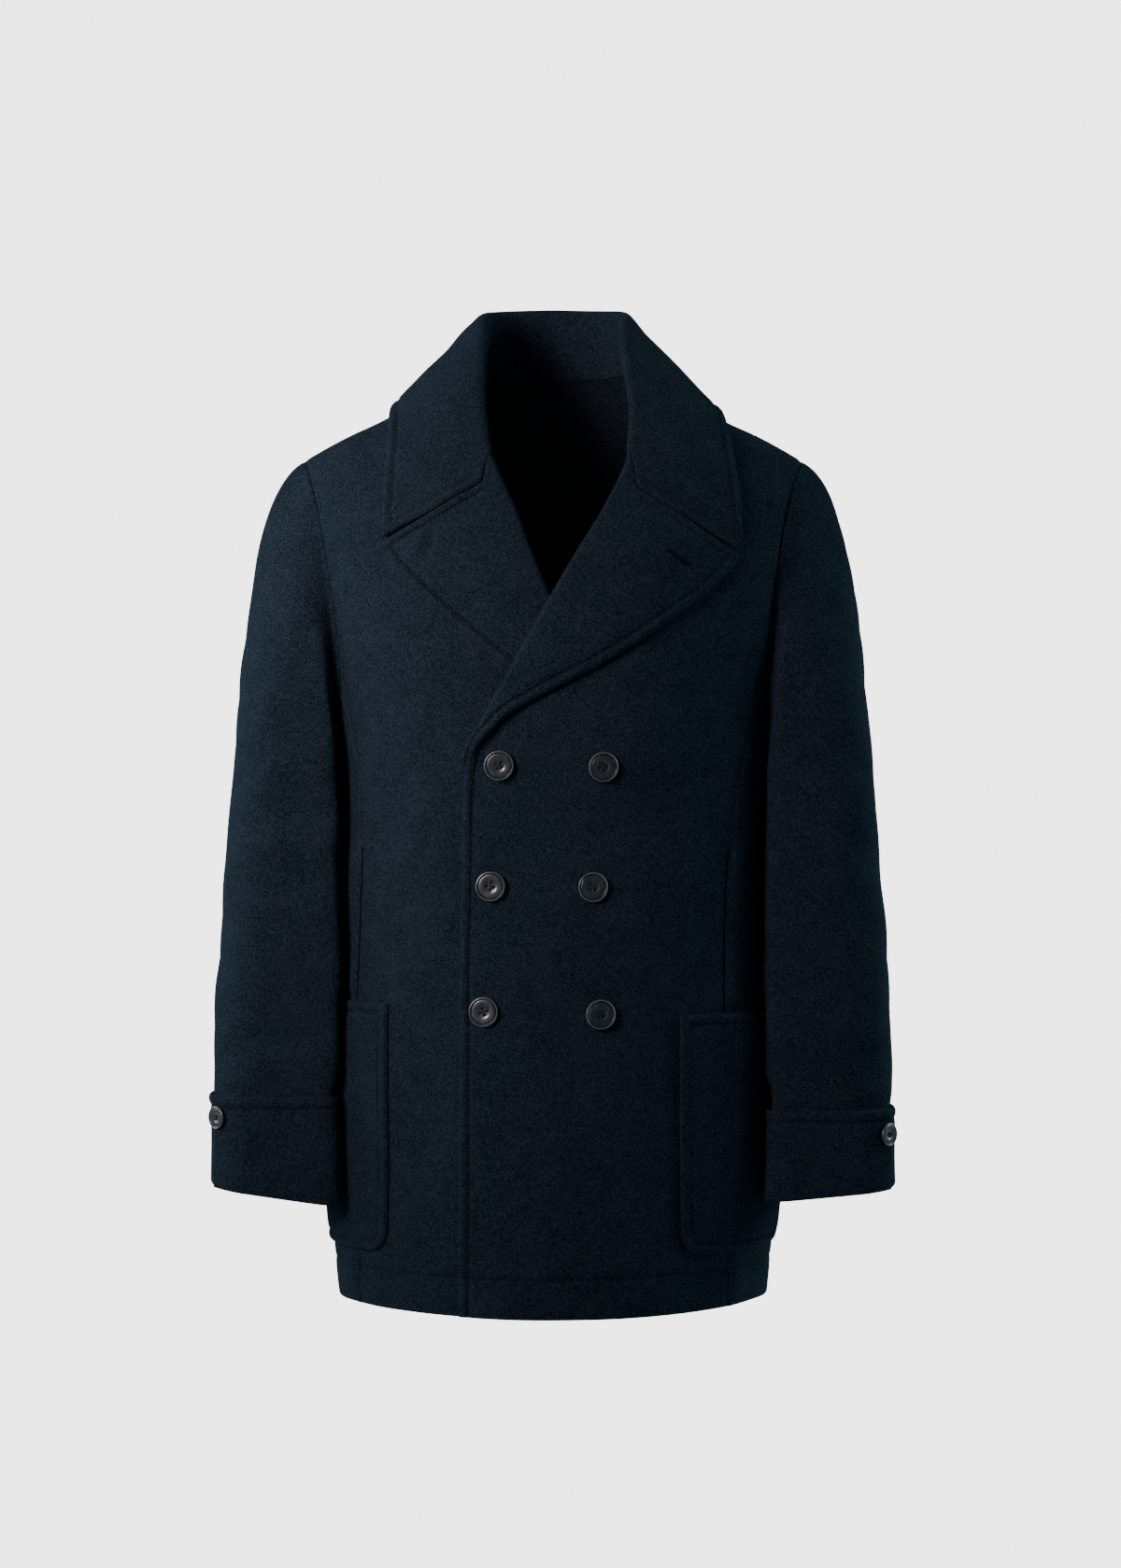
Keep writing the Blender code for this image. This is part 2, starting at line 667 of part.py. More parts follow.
def cuff_foot(half, x):
    """Height of the cuff's lower edge, which drops towards the body."""
    inner, outer = TORSO.at("half_width", SLEEVE_END), SLEEVE.at("outer", SLEEVE_END)
    share = np.clip((x - inner) / (outer - inner), 0.0, 1.0)
    return lerp(half.cuff_foot_inner, half.cuff_foot_outer, share)


def armhole_angles(armhole):
    """Angle of each armhole point about the armhole's middle, as in sleeve_ring."""
    y, z = armhole.points[:, 1], armhole.points[:, 2]
    middle_y, middle_z = (y.max() + y.min()) / 2, (z.max() + z.min()) / 2
    angles = np.arctan2(-(y - middle_y) / np.ptp(y), (z - middle_z) / np.ptp(z))
    return angles % (2 * math.pi)


def sleeve_walls(half, armhole):
    """Top and under sleeve, from the armhole seam over the sleeve head down to inside the cuff."""
    angles = armhole_angles(armhole)
    turn = lerp(SLEEVE_TURN_TOP, SLEEVE_TURN_UNDERARM, (1 - np.cos(angles)) / 2)
    rings, normals = [], []
    for share in (0.0, 0.34, 0.67, 1.0):
        safe = np.where(np.abs(turn) < 1e-6, 1e-6, turn)
        points, ring_normals = armhole.turned(SLEEVE_SEAM_LENGTH / safe, safe * share)
        rings.append(points)
        normals.append(ring_normals)
    seam_rings = len(rings)
    start, heading = rings[-1], armhole.heading(turn)
    end = sleeve_ring(SLEEVE_RINGS[0], angles)
    below = sleeve_ring(SLEEVE_RINGS[0] - 0.02, angles)
    reach = np.linalg.norm(end - start, axis=-1, keepdims=True)
    down = unit(below - end) * reach * 0.95
    heading = heading * reach * 0.6
    for t in (0.12, 0.26, 0.41, 0.57, 0.73, 0.87):
        ring = (1 + 2 * t) * (1 - t) ** 2 * start + t * (1 - t) ** 2 * heading
        ring = ring + t * t * (3 - 2 * t) * end - t * t * (1 - t) * down
        clear = torso_width(ring[:, 1], ring[:, 2]) + SLEEVE_CLEARANCE.at("gap", ring[:, 2])
        beside_body = (ring[:, 2] < ARMHOLE_CORNER) & (np.cos(angles) < 0)
        ring[:, 0] = np.where(beside_body, np.maximum(ring[:, 0], clear), ring[:, 0])
        rings.append(ring)
    for z in SLEEVE_RINGS:
        rings.append(sleeve_ring(z, angles))
    foot = cuff_foot(half, rings[-1][:, 0]) + 0.004
    rings.append(sleeve_ring(foot, angles))
    outer = np.array(rings)
    every = grid_normals(outer, closed=True)
    if np.sum(every[seam_rings - 1] * normals[-1]) < 0:
        every = -every
    for i, ring_normals in enumerate(normals):
        every[i] = ring_normals
    inner = outer - every * CLOTH
    front, behind = [int(np.argmin(np.abs(angles - seam))) for seam in SLEEVE_SEAMS]
    top_part = np.r_[behind : len(angles), : front + 1]
    under_part = np.arange(front, behind + 1)
    walls = [Wall(outer[:, part], inner[:, part]) for part in (top_part, under_part)]
    return [wall.draw_back("first_column").draw_back("last_column") for wall in walls]


def cuff_wall(half):
    """Turned-back cuff: a band round the sleeve's end, its front end lapped over its other end."""
    around = np.linspace(0, 2 * math.pi + CUFF_LAP, 31)
    angles = CUFF_END_ANGLE + around
    lapped = 1 - ease(CUFF_LAP, CUFF_LAP + math.radians(35), around)
    spread = CUFF_GAP + lapped * (CUFF_CLOTH + REST_GAP)
    rows = []
    for share in (0.0, 0.34, 0.67, 1.0):
        middle = sleeve_ring(-0.66, angles, spread)
        z = lerp(half.cuff_top, cuff_foot(half, middle[:, 0]), share)
        rows.append(sleeve_ring(z, angles, spread))
    inner = np.array(rows)
    normals = grid_normals(inner)
    if np.sum(normals[0, 0] * (1, -1, 0)) < 0:
        normals = -normals
    return Wall(inner + normals * CUFF_CLOTH, inner)


def lapel_grid(half, roll):
    """Under face of a lapel, rolled over at the front's edge and laid back on it, and its normals."""
    rings, normals = [], []
    for share in ROLL_SHARES:
        points, ring_normals = roll.turned(ROLL_RADIUS, np.full(len(roll.points), ROLL_TURN * share))
        rings.append(points)
        normals.append(ring_normals)
    start = rings[-1]
    edge = np.array(half.lapel_edge)
    for share in FALL_SHARES:
        x = lerp(start[:, 0], edge[:, 0], share)
        z = lerp(start[:, 2], edge[:, 1], share)
        x[0], z[0] = half.notch.at("x", share), half.notch.at("height", share)
        off = lerp(2 * ROLL_RADIUS, LAPEL_REST, share)
        rings.append(rested(half, front_surface(half, x, z), off))
    under = np.array(rings).transpose(1, 0, 2)
    every = grid_normals(under)
    turned = len(ROLL_SHARES)
    if np.sum(every[:, turned - 1] * normals[-1]) < 0:
        every = -every
    every[:, :turned] = np.array(normals).transpose(1, 0, 2)
    return under, every


def collar_wall(half, neckline, roll_top, roll_top_normals):
    """Half of the collar: the stand, the fold at its crest and the fall.

    In front it ends above the lapel, whose rolled points and normals there are given.
    """
    count = len(neckline.points)
    stations = np.arange(count)
    crest = np.stack([half.collar_crest.at(c, stations) for c in ("x", "y", "height")], axis=-1)
    edge = collar_edge_points(half, stations)
    foot, _ = neckline.turned(1.0, np.zeros(count))
    height = np.linalg.norm(crest - foot, axis=-1, keepdims=True)
    up = unit(crest - foot)
    top = foot + up * np.maximum(height - COLLAR_CLOTH - COLLAR_ROLL_RADIUS, SHORTEST_STAND)
    out = neckline.normals
    out = unit(out - up * np.sum(out * up, axis=-1, keepdims=True))
    columns = [foot, lerp(foot, top, 0.5), top]
    for degrees in COLLAR_TURNS:
        turn = math.radians(degrees)
        columns.append(top + COLLAR_ROLL_RADIUS * (math.sin(turn) * up + (1 - math.cos(turn)) * out))
    start = columns[-1]
    reach = np.linalg.norm(edge - start, axis=-1, keepdims=True)
    for t in FALL_SHARES:
        column = lerp(start, edge, t) + out * reach * COLLAR_BULGE * t * (1 - t) ** 2
        columns.append(rested(half, column, lerp(COLLAR_CLOTH, COLLAR_REST, t), only_out=True))
    under = np.array(columns).transpose(1, 0, 2)
    turned = len(ROLL_SHARES)
    under[-1, :turned] = roll_top
    under[-1, turned:] = collar_end_points(half)
    normals = grid_normals(under)
    if np.sum(normals[0, 1] * neckline.normals[0]) < 0:
        normals = -normals
    normals[:, 0] = neckline.normals
    normals[-1, :turned] = roll_top_normals
    cloth = np.full((count, 1, 1), COLLAR_CLOTH)
    cloth[-1] = LAPEL_CLOTH
    return Wall(under, under - normals * cloth).draw_back("last_row", GORGE_GAP)


def collar_end_points(half):
    """Under side of the collar's end, along the lapel's top edge and parting from it at its tip."""
    shares = np.array(FALL_SHARES)
    along = shares * half.collar_end_share
    x, z = half.notch.at("x", along), half.notch.at("height", along)
    z = z + COLLAR_PARTING * ease(0.4, 1.0, shares)
    return rested(half, front_surface(half, x, z), lerp(2 * ROLL_RADIUS, COLLAR_REST, shares))


def collar_edge_points(half, stations):
    """Under side of the collar's outer edge, resting on the back, the shoulder and the front."""
    x, z = half.collar_edge.at("x", stations), half.collar_edge.at("height", stations)
    behind = torso_depth(x, z, "back_depth")
    y = np.where(stations < BACK_NECK_COLUMNS, behind, front_surface(half, x, z)[:, 1])
    y[BACK_NECK_COLUMNS] = 0.0
    return rested(half, np.stack((x, y, z), axis=-1), COLLAR_REST)


def section_points(z, lengths):
    """Points and normals on the torso's section at a height, by the length round from the front."""
    angles = np.linspace(0, math.pi, SECTION_SAMPLES)
    width = TORSO.at("half_width", z)
    depth = np.where(angles < math.pi / 2, TORSO.at("front_depth", z), TORSO.at("back_depth", z))
    square = TORSO.at("squareness", z)
    power = 2 / square
    x = width * np.sin(angles) ** power
    y = -depth * np.sign(np.cos(angles)) * np.abs(np.cos(angles)) ** power
    run = np.concatenate(([0.0], np.cumsum(np.hypot(np.diff(x), np.diff(y)))))
    x, y = np.interp(lengths, run, x), np.interp(lengths, run, y)
    depth = np.where(y < 0, TORSO.at("front_depth", z), TORSO.at("back_depth", z))
    slope_x = (x / width) ** (square - 1) / width
    slope_y = np.sign(y) * (np.abs(y) / depth) ** (square - 1) / depth
    normals = unit(np.stack((slope_x, slope_y, np.zeros_like(x)), axis=-1))
    return np.stack((x, y, np.full_like(x, z)), axis=-1), normals


def length_to(z, x):
    """Length round the torso's section from its front middle to an X, on the front."""
    angles = np.linspace(0, math.pi / 2, SECTION_SAMPLES)
    power = 2 / TORSO.at("squareness", z)
    across = TORSO.at("half_width", z) * np.sin(angles) ** power
    forward = TORSO.at("front_depth", z) * np.cos(angles) ** power
    run = np.concatenate(([0.0], np.cumsum(np.hypot(np.diff(across), np.diff(forward)))))
    return np.interp(x, across, run)


def plate_wall(half, heights, spans, gap, cloth):
    """Plate laid on the torso: for each height, the lengths round the section of its columns."""
    outer, inner = [], []
    for z, lengths in zip(heights, spans):
        points, normals = section_points(z, lengths)
        lift = normals * np.reshape(lap_lift(half, points[:, 0], z), (-1, 1))
        inner.append(points + lift + normals * gap)
        outer.append(points + lift + normals * (gap + cloth))
    return Wall(np.array(outer), np.array(inner))


def pocket_wall(half):
    """Patch pocket with round lower corners, on the front and round to the side."""
    corner_steps = np.radians((90, 60, 35, 15, 0))
    corner_heights = POCKET_FOOT + POCKET_CORNER * (1 - np.sin(corner_steps))
    heights = list(corner_heights[::-1]) + list(np.linspace(POCKET_FOOT + 0.05, half.pocket_top, 6))
    insets = list(POCKET_CORNER * (1 - np.cos(corner_steps[::-1]))) + [0.0] * 6
    heights[:5] = sorted(heights[:5])
    insets[:5] = sorted(insets[:5], reverse=True)
    spans = []
    for z, inset in zip(heights, insets):
        start = length_to(z, half.pocket_from)
        spans.append(np.linspace(start + inset, start + POCKET_WIDTH - inset, 12))
    return plate_wall(half, heights, spans, REST_GAP, CLOTH)


def welt_wall(half):
    """Narrow raised mouth of the hand-warmer pocket, along the side-front seam."""
    heights = np.linspace(half.pocket_top + 0.004, WELT_TOP, 6)
    spans = []
    for z in heights:
        seam = length_to(z, half.side_front_seam.at("x", z))
        spans.append(np.linspace(seam - WELT_WIDTH, seam, 3))
    return plate_wall(half, heights, spans, REST_GAP, WELT_CLOTH)


def button_object(name, middle, normal, radius):
    """Turned button with a raised rim, its back towards the cloth."""
    normal = unit(np.array(normal))
    level = unit(np.cross(normal, (0, 0, 1)))
    upright = np.cross(level, normal)
    points, rings = [], []
    for share, height in BUTTON_PROFILE:
        sides = 1 if share == 0 else BUTTON_SIDES
        ring = []
        for i in range(sides):
            angle = 2 * math.pi * i / sides
            spoke = (math.cos(angle) * level + math.sin(angle) * upright) * share
            ring.append(len(points))
            points.append(middle + radius * (spoke + normal * height))
        rings.append(ring)
    faces = []
    for low, high in zip(rings, rings[1:]):
        for i in range(BUTTON_SIDES):
            j = (i + 1) % BUTTON_SIDES
            corners = [low[i % len(low)], low[j % len(low)], high[j % len(high)], high[i % len(high)]]
            faces.append(list(dict.fromkeys(corners)))
    return make_object(name, np.array(points), faces, HORN, roughness=0.35)


def front_buttons():
    """Buttons on the left front, each flat on the cloth's slope."""
    step = 0.006
    for name, x, z in FRONT_BUTTONS:
        here = front_surface(LEFT, np.array(x), np.array(z))
        beside = front_surface(LEFT, np.array(x + step), np.array(z))
        above = front_surface(LEFT, np.array(x), np.array(z + step))
        normal = unit(np.cross(beside - here, above - here))
        button_object(name, here + normal * BUTTON_OFF_CLOTH, normal, FRONT_BUTTON_RADIUS)


def cuff_button(half):
    """Button on the lapped end of a cuff."""
    spread = CUFF_GAP + REST_GAP + 2 * CUFF_CLOTH
    angle = CUFF_END_ANGLE + math.radians(10)
    turned = np.array([angle, angle + 0.02])
    here, beside = sleeve_ring(half.cuff_button_height, turned, spread)
    normal = unit(np.cross((0, 0, 1), beside - here))
    if normal[1] > 0:
        normal = -normal
    mirror = (half.sign, 1, 1)
    middle = (here + normal * BUTTON_OFF_CLOTH) * mirror
    button_object(f"button_cuff_{half.name}", middle, normal * mirror, CUFF_BUTTON_RADIUS)


def main():
    """Build the whole coat."""
    for item in list(bpy.data.objects):
        bpy.data.objects.remove(item, do_unlink=True)
    backs, collars = {}, {}
    for half in (LEFT, RIGHT):
        front, side, back, armhole, neckline, roll = torso_walls(half)
        front.make(f"front_{half.name}", half.sign, WOOL)
        side.make(f"side_{half.name}", half.sign, WOOL)
        for wall, part in zip(sleeve_walls(half, armhole), ("top", "under")):
            wall.make(f"{part}_sleeve_{half.name}", half.sign, WOOL)
        cuff_wall(half).make(f"cuff_{half.name}", half.sign, WOOL)
        under, normals = lapel_grid(half, roll)
        lapel = Wall(under, under - normals * LAPEL_CLOTH).draw_back("first_row", GORGE_GAP)
        lapel.make(f"lapel_{half.name}", half.sign, WOOL)
        pocket_wall(half).make(f"pocket_{half.name}", half.sign, WOOL)
        welt_wall(half).make(f"welt_{half.name}", half.sign, WOOL)
        cuff_button(half)
        backs[half.name] = Wall(back.outer.transpose(1, 0, 2), back.inner.transpose(1, 0, 2))
        turned = len(ROLL_SHARES)
        roll_top = under[0, :turned], normals[0, :turned]
        collars[half.name] = collar_wall(half, neckline, *roll_top)
    backs["right"].mirrored_with(backs["left"]).make("back", 1, WOOL)
    collars["right"].mirrored_with(collars["left"]).make("collar", 1, WOOL)
    front_buttons()


main()
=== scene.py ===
"""Double-breasted pea coat of felted navy wool, filled out as worn and empty.

Metres, +Z up. The front faces -Y and +X is the wearer's left. The origin is at the middle of the
neck base. Each half of the coat is worked out in its own side's X, which grows from the coat's
middle towards its own arm, and is mirrored when its mesh is made.
"""

import logging
import math
from dataclasses import dataclass, field
from enum import Enum
from typing import Callable, Iterable

import bpy
import numpy as np
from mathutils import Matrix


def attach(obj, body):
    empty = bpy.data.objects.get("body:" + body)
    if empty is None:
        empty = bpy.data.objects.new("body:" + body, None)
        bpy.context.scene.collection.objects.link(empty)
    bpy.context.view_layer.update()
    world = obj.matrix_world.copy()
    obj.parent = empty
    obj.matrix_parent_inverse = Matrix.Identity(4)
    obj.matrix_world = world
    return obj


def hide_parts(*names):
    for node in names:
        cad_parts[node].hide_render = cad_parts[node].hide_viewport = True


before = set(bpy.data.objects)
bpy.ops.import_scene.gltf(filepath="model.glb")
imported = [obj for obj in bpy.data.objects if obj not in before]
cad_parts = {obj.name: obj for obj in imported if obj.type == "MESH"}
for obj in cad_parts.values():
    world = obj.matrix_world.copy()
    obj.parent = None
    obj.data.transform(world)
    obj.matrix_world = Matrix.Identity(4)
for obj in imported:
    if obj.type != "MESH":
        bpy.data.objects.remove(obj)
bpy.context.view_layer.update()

Grid = np.ndarray

log = logging.getLogger("pea_coat")

# Cloth and gaps
CLOTH = 0.0026
LAPEL_CLOTH = 0.0032
COLLAR_CLOTH = 0.0038
CUFF_CLOTH = 0.0032
SEAM_GAP = 0.0003
REST_GAP = 0.0008

# Cutting lines of the body
HEM = -0.790
ARMHOLE_CORNER = -0.279
ARMHOLE_DROP = 0.026
NECK_HALF_WIDTH = 0.076
NECK_TOP = 0.002
BACK_NECK = -0.002
SHOULDER_END = 0.212
YOKE_STEPS = 8
SHOULDER_STEPS = 12
BACK_NECK_STEPS = 4

# Form of the filled-out body
SHOULDER_ROUNDING = 2.4
SLOPE_STEP = 0.0001
AROUND_RADIUS = 0.19

# Overlap of the left front
LAP_LIFT = 0.0034
LAP_LAPEL_LIFT = 0.0066
LAP_FADE = (0.062, 0.142)
LAP_TOP = (-0.172, -0.105)
LAP_LAPEL_FOOT = (-0.378, -0.334)


def lerp(start: Grid, end: Grid, share: Grid) -> Grid:
    """Point or value at a share of the way from start to end."""
    return start + (end - start) * share


def unit(vectors: Grid) -> Grid:
    """Vectors scaled to length one."""
    return vectors / np.maximum(np.linalg.norm(vectors, axis=-1, keepdims=True), 1e-12)


def ease(low: float, high: float, value: Grid) -> Grid:
    """0 below low, 1 above high, and a smooth step between them."""
    t = np.clip((value - low) / (high - low), 0.0, 1.0)
    return t * t * (3 - 2 * t)


def bell(value: Grid, width: float) -> Grid:
    """1 where the value is 0, and less on both sides of it, over a width."""
    return np.exp(-((value / width) ** 2))


def swelled(distance: Grid, inset: float) -> Grid:
    """1 midway between an edge and its row of stitching, and 0 at both."""
    return np.sin(np.clip(distance / inset, 0, 1) * math.pi) ** 0.7


class Table:
    """Rows of named columns, read on a smooth curve through them by the first column."""

    def __init__(self, columns: str, *rows: tuple[float, ...]) -> None:
        """Keep the rows in the first column's order."""
        values = np.array(sorted(rows), dtype=float).T
        self.keys = values[0]
        self.columns = dict(zip(columns.split(), values))

    def at(self, column: str, key: Grid) -> Grid:
        """Value of a column where the first column has the value key, with no overshoot.

        Args:
            column: name of the column.
            key: value or values of the first column.

        Returns:
            The column's values there, in the shape of key.
        """
        keys, values = self.keys, self.columns[column]
        step = np.diff(keys)
        slope = np.diff(values) / step
        tangent = np.concatenate(([slope[0]], np.zeros(len(keys) - 2), [slope[-1]]))
        same_way = slope[:-1] * slope[1:] > 0
        both = slope[:-1] + slope[1:]
        tangent[1:-1][same_way] = (2 * slope[:-1] * slope[1:])[same_way] / both[same_way]
        key = np.clip(key, keys[0], keys[-1])
        i = np.clip(np.searchsorted(keys, key) - 1, 0, len(step) - 1)
        t = (key - keys[i]) / step[i]
        start = (1 + 2 * t) * (1 - t) ** 2 * values[i] + t * (1 - t) ** 2 * step[i] * tangent[i]
        end = t * t * (3 - 2 * t) * values[i + 1] - t * t * (1 - t) * step[i] * tangent[i + 1]
        return start + end


TORSO = Table(
    "height half_width front_depth back_depth squareness",
    (-0.790, 0.1815, 0.165, 0.140, 1.85),
    (-0.750, 0.1862, 0.163, 0.138, 1.88),
    (-0.720, 0.1900, 0.161, 0.136, 1.91),
    (-0.700, 0.1912, 0.160, 0.134, 1.94),
    (-0.600, 0.1860, 0.154, 0.128, 2.10),
    (-0.500, 0.1815, 0.150, 0.124, 2.25),
    (-0.400, 0.1808, 0.147, 0.125, 2.35),
    (-0.310, 0.1840, 0.144, 0.130, 2.35),
    (-0.232, 0.1950, 0.139, 0.134, 2.35),
    (-0.185, 0.2020, 0.134, 0.135, 2.35),
    (-0.139, 0.2120, 0.127, 0.132, 2.35),
    (-0.080, 0.2280, 0.113, 0.124, 2.35),
    (0.000, 0.2400, 0.098, 0.112, 2.35),
    (0.060, 0.2460, 0.088, 0.102, 2.35),
)
SHOULDER = Table(
    "across height",
    (0.000, 0.044),
    (0.076, 0.002),
    (0.110, -0.023),
    (0.143, -0.044),
    (0.178, -0.0605),
    (0.212, -0.0795),
    (0.240, -0.0970),
)
ARMHOLE = Table(
    "height front back",
    (-0.279, 0.1765, 0.1800),
    (-0.232, 0.1810, 0.1880),
    (-0.185, 0.1875, 0.1940),
    (-0.139, 0.1960, 0.2005),
    (-0.100, 0.2055, 0.2075),
    (-0.0795, 0.2120, 0.2120),
)
SIDE_BACK_SEAM = Table(
    "height x",
    (-0.790, 0.1600), (-0.530, 0.1560), (-0.405, 0.1580), (-0.360, 0.1620),
    (-0.315, 0.1700), (-0.279, 0.1800),
)
SLEEVE = Table(
    "height outer middle_y half_depth",
    (-0.698, 0.2842, -0.040, 0.0475),
    (-0.660, 0.2842, -0.037, 0.0485),
    (-0.632, 0.2846, -0.034, 0.0500),
    (-0.612, 0.2868, -0.032, 0.0520),
    (-0.560, 0.2865, -0.026, 0.0570),
    (-0.500, 0.2835, -0.018, 0.0625),
    (-0.440, 0.2800, -0.011, 0.0670),
    (-0.390, 0.2765, -0.007, 0.0700),
    (-0.340, 0.2725, -0.004, 0.0720),
)
SLEEVE_CLEARANCE = Table(
    "height gap",
    (-0.700, 0.0098),
    (-0.614, 0.0098),
    (-0.596, 0.0050),
    (-0.550, 0.0050),
    (-0.535, 0.0046),
    (-0.520, 0.0030),
    (-0.300, 0.0030),
)
# Heights on the free edge, counted in steps up from the armhole's corner
YOKE_EDGE = Table(
    "step height",
    (0, -0.279), (1, -0.225), (2, -0.175), (3, -0.128), (4, -0.085),
    (5, -0.050), (6, -0.022), (7, -0.0035), (8, 0.002),
)
# Heights of the roll line, counted in steps down from the lapel's top
ROLL_EDGE = Table(
    "row height",
    (0, -0.085), (1, -0.128), (2, -0.175), (3, -0.225), (4, -0.279), (5, -0.305), (6, -0.330),
)


class Face(Enum):
    """The torso's front or back, by the name of its depth column."""

    FRONT = "front_depth"
    BACK = "back_depth"


@dataclass(frozen=True)
class Half:
    """What differs between the coat's two halves, in each one's own-side X."""

    name: str
    sign: int
    laps_over: bool
    front_edge: Table
    lapel_edge: Table
    foot_drop: float  # how much further down the lapel's roll ends
    notch: Table
    collar_end_share: float
    collar_edge: Table
    collar_crest: Table
    side_front_seam: Table
    pocket_from: float
    pocket_top: float
    cuff_top: float
    cuff_foot_outer: float
    cuff_foot_inner: float
    cuff_button_height: float


LEFT = Half(
    name="left",
    sign=1,
    laps_over=True,
    front_edge=Table(
        "height x",
        (-0.790, -0.0765), (-0.526, -0.0760), (-0.390, -0.0735), (-0.345, -0.0722),
        (-0.330, -0.0685), (-0.305, -0.0538), (-0.279, -0.0390), (-0.225, -0.0093),
        (-0.175, 0.0192), (-0.128, 0.0470), (-0.085, 0.0660), (-0.050, 0.0720),
        (-0.022, 0.0745), (-0.0035, 0.0760), (0.002, 0.0760),
    ),
    lapel_edge=Table(
        "row x height",
        (0, 0.1552, -0.1680), (1, 0.1290, -0.1955), (2, 0.0900, -0.2255), (3, 0.0450, -0.2555),
        (4, -0.0070, -0.2832), (5, -0.0340, -0.2990), (5.3, -0.0450, -0.3078),
        (5.6, -0.0555, -0.3187), (5.8, -0.0605, -0.3290), (6, -0.0652, -0.3480),
    ),
    foot_drop=0.020,
    notch=Table(
        "share x height",
        (0.00, 0.0660, -0.0850), (0.25, 0.0675, -0.1080), (0.44, 0.0860, -0.1225),
        (0.63, 0.1075, -0.1365), (1.00, 0.1552, -0.1675),
    ),
    collar_end_share=0.975,
    collar_edge=Table(
        "station x height",
        (0, 0.0000, -0.0500), (1, 0.0430, -0.0495), (2, 0.0860, -0.0475),
        (3, 0.1240, -0.0425), (4, 0.1360, -0.0400), (5, 0.1435, -0.0520), (6, 0.1490, -0.0780),
        (7, 0.1545, -0.1180), (8, 0.1575, -0.1620),
    ),
    collar_crest=Table(
        "station x y height",
        (0, 0.000, 0.060, 0.0580), (1, 0.0230, 0.057, 0.0572), (2, 0.0420, 0.046, 0.0552),
        (3, 0.0545, 0.028, 0.0520), (4, 0.0585, 0.004, 0.0450), (5, 0.0562, -0.021, 0.0260),
        (6, 0.0600, -0.045, -0.0080), (7, 0.0640, -0.068, -0.0440), (8, 0.0570, -0.091, -0.0835),
    ),
    side_front_seam=Table(
        "height x",
        (-0.790, 0.1500), (-0.530, 0.1480), (-0.405, 0.1525), (-0.360, 0.1568),
        (-0.315, 0.1668), (-0.279, 0.1765),
    ),
    pocket_from=0.1035,
    pocket_top=-0.546,
    cuff_top=-0.628,
    cuff_foot_outer=-0.694,
    cuff_foot_inner=-0.703,
    cuff_button_height=-0.648,
)
RIGHT = Half(
    name="right",
    sign=-1,
    laps_over=False,
    front_edge=Table(
        "height x",
        (-0.790, -0.0620), (-0.390, -0.0620), (-0.345, -0.0600), (-0.330, -0.0560),
        (-0.305, -0.0430), (-0.279, -0.0290), (-0.225, -0.0042), (-0.175, 0.0173),
        (-0.128, 0.0356), (-0.085, 0.0540), (-0.050, 0.0645), (-0.022, 0.0725),
        (-0.0035, 0.0757), (0.002, 0.0760),
    ),
    lapel_edge=Table(
        "row x height",
        (0, 0.1442, -0.1590), (1, 0.1190, -0.1885), (2, 0.0840, -0.2215), (3, 0.0450, -0.2545),
        (4, -0.0010, -0.2910), (5, -0.0260, -0.3090), (6, -0.0460, -0.3235),
    ),
    foot_drop=0.0,
    notch=Table(
        "share x height",
        (0.00, 0.0540, -0.0850), (0.25, 0.0570, -0.1060), (0.44, 0.0780, -0.1190),
        (0.63, 0.1000, -0.1325), (1.00, 0.1442, -0.1585),
    ),
    collar_end_share=0.955,
    collar_edge=Table(
        "station x height",
        (0, 0.0000, -0.0500), (1, 0.0430, -0.0495), (2, 0.0840, -0.0470),
        (3, 0.1205, -0.0410), (4, 0.1320, -0.0375), (5, 0.1360, -0.0500), (6, 0.1362, -0.0740),
        (7, 0.1390, -0.1060), (8, 0.1405, -0.1430),
    ),
    collar_crest=Table(
        "station x y height",
        (0, 0.000, 0.060, 0.0580), (1, 0.0230, 0.057, 0.0572), (2, 0.0415, 0.046, 0.0547),
        (3, 0.0535, 0.028, 0.0507), (4, 0.0572, 0.004, 0.0425), (5, 0.0545, -0.021, 0.0240),
        (6, 0.0565, -0.045, -0.0080), (7, 0.0560, -0.069, -0.0440), (8, 0.0485, -0.091, -0.0835),
    ),
    side_front_seam=Table(
        "height x",
        (-0.790, 0.1640), (-0.534, 0.1678), (-0.421, 0.1635), (-0.360, 0.1645),
        (-0.315, 0.1695), (-0.279, 0.1765),
    ),
    pocket_from=0.1355,
    pocket_top=-0.537,
    cuff_top=-0.617,
    cuff_foot_outer=-0.692,
    cuff_foot_inner=-0.706,
    cuff_button_height=-0.634,
)


# ---------------------------------------------------------------- form of the filled-out coat


def torso_depth(x: Grid, z: Grid, face: Face) -> Grid:
    """Distance of the torso's surface from the plane y = 0, before or behind it."""
    across = np.clip(np.abs(x) / TORSO.at("half_width", z), 0.0, 1.0)
    climb = (z - ARMHOLE_CORNER) / (SHOULDER.at("height", np.abs(x)) - ARMHOLE_CORNER)
    square = TORSO.at("squareness", z)
    section = (1 - across**square) ** (1 / square)
    rounding = (1 - np.clip(climb, 0.0, 1.0) ** SHOULDER_ROUNDING) ** (1 / SHOULDER_ROUNDING)
    return TORSO.at(face.value, z) * section * rounding


def torso_width(y: Grid, z: Grid) -> Grid:
    """X of the torso's side below the armhole, at a depth and height."""
    share = np.clip(np.abs(y) / side_depth(y, z), 0.0, 1.0)
    square = TORSO.at("squareness", z)
    return TORSO.at("half_width", z) * (1 - share**square) ** (1 / square)


def side_depth(y: Grid, z: Grid) -> Grid:
    """The torso's full depth on y's side."""
    return np.where(y < 0, TORSO.at("front_depth", z), TORSO.at("back_depth", z))


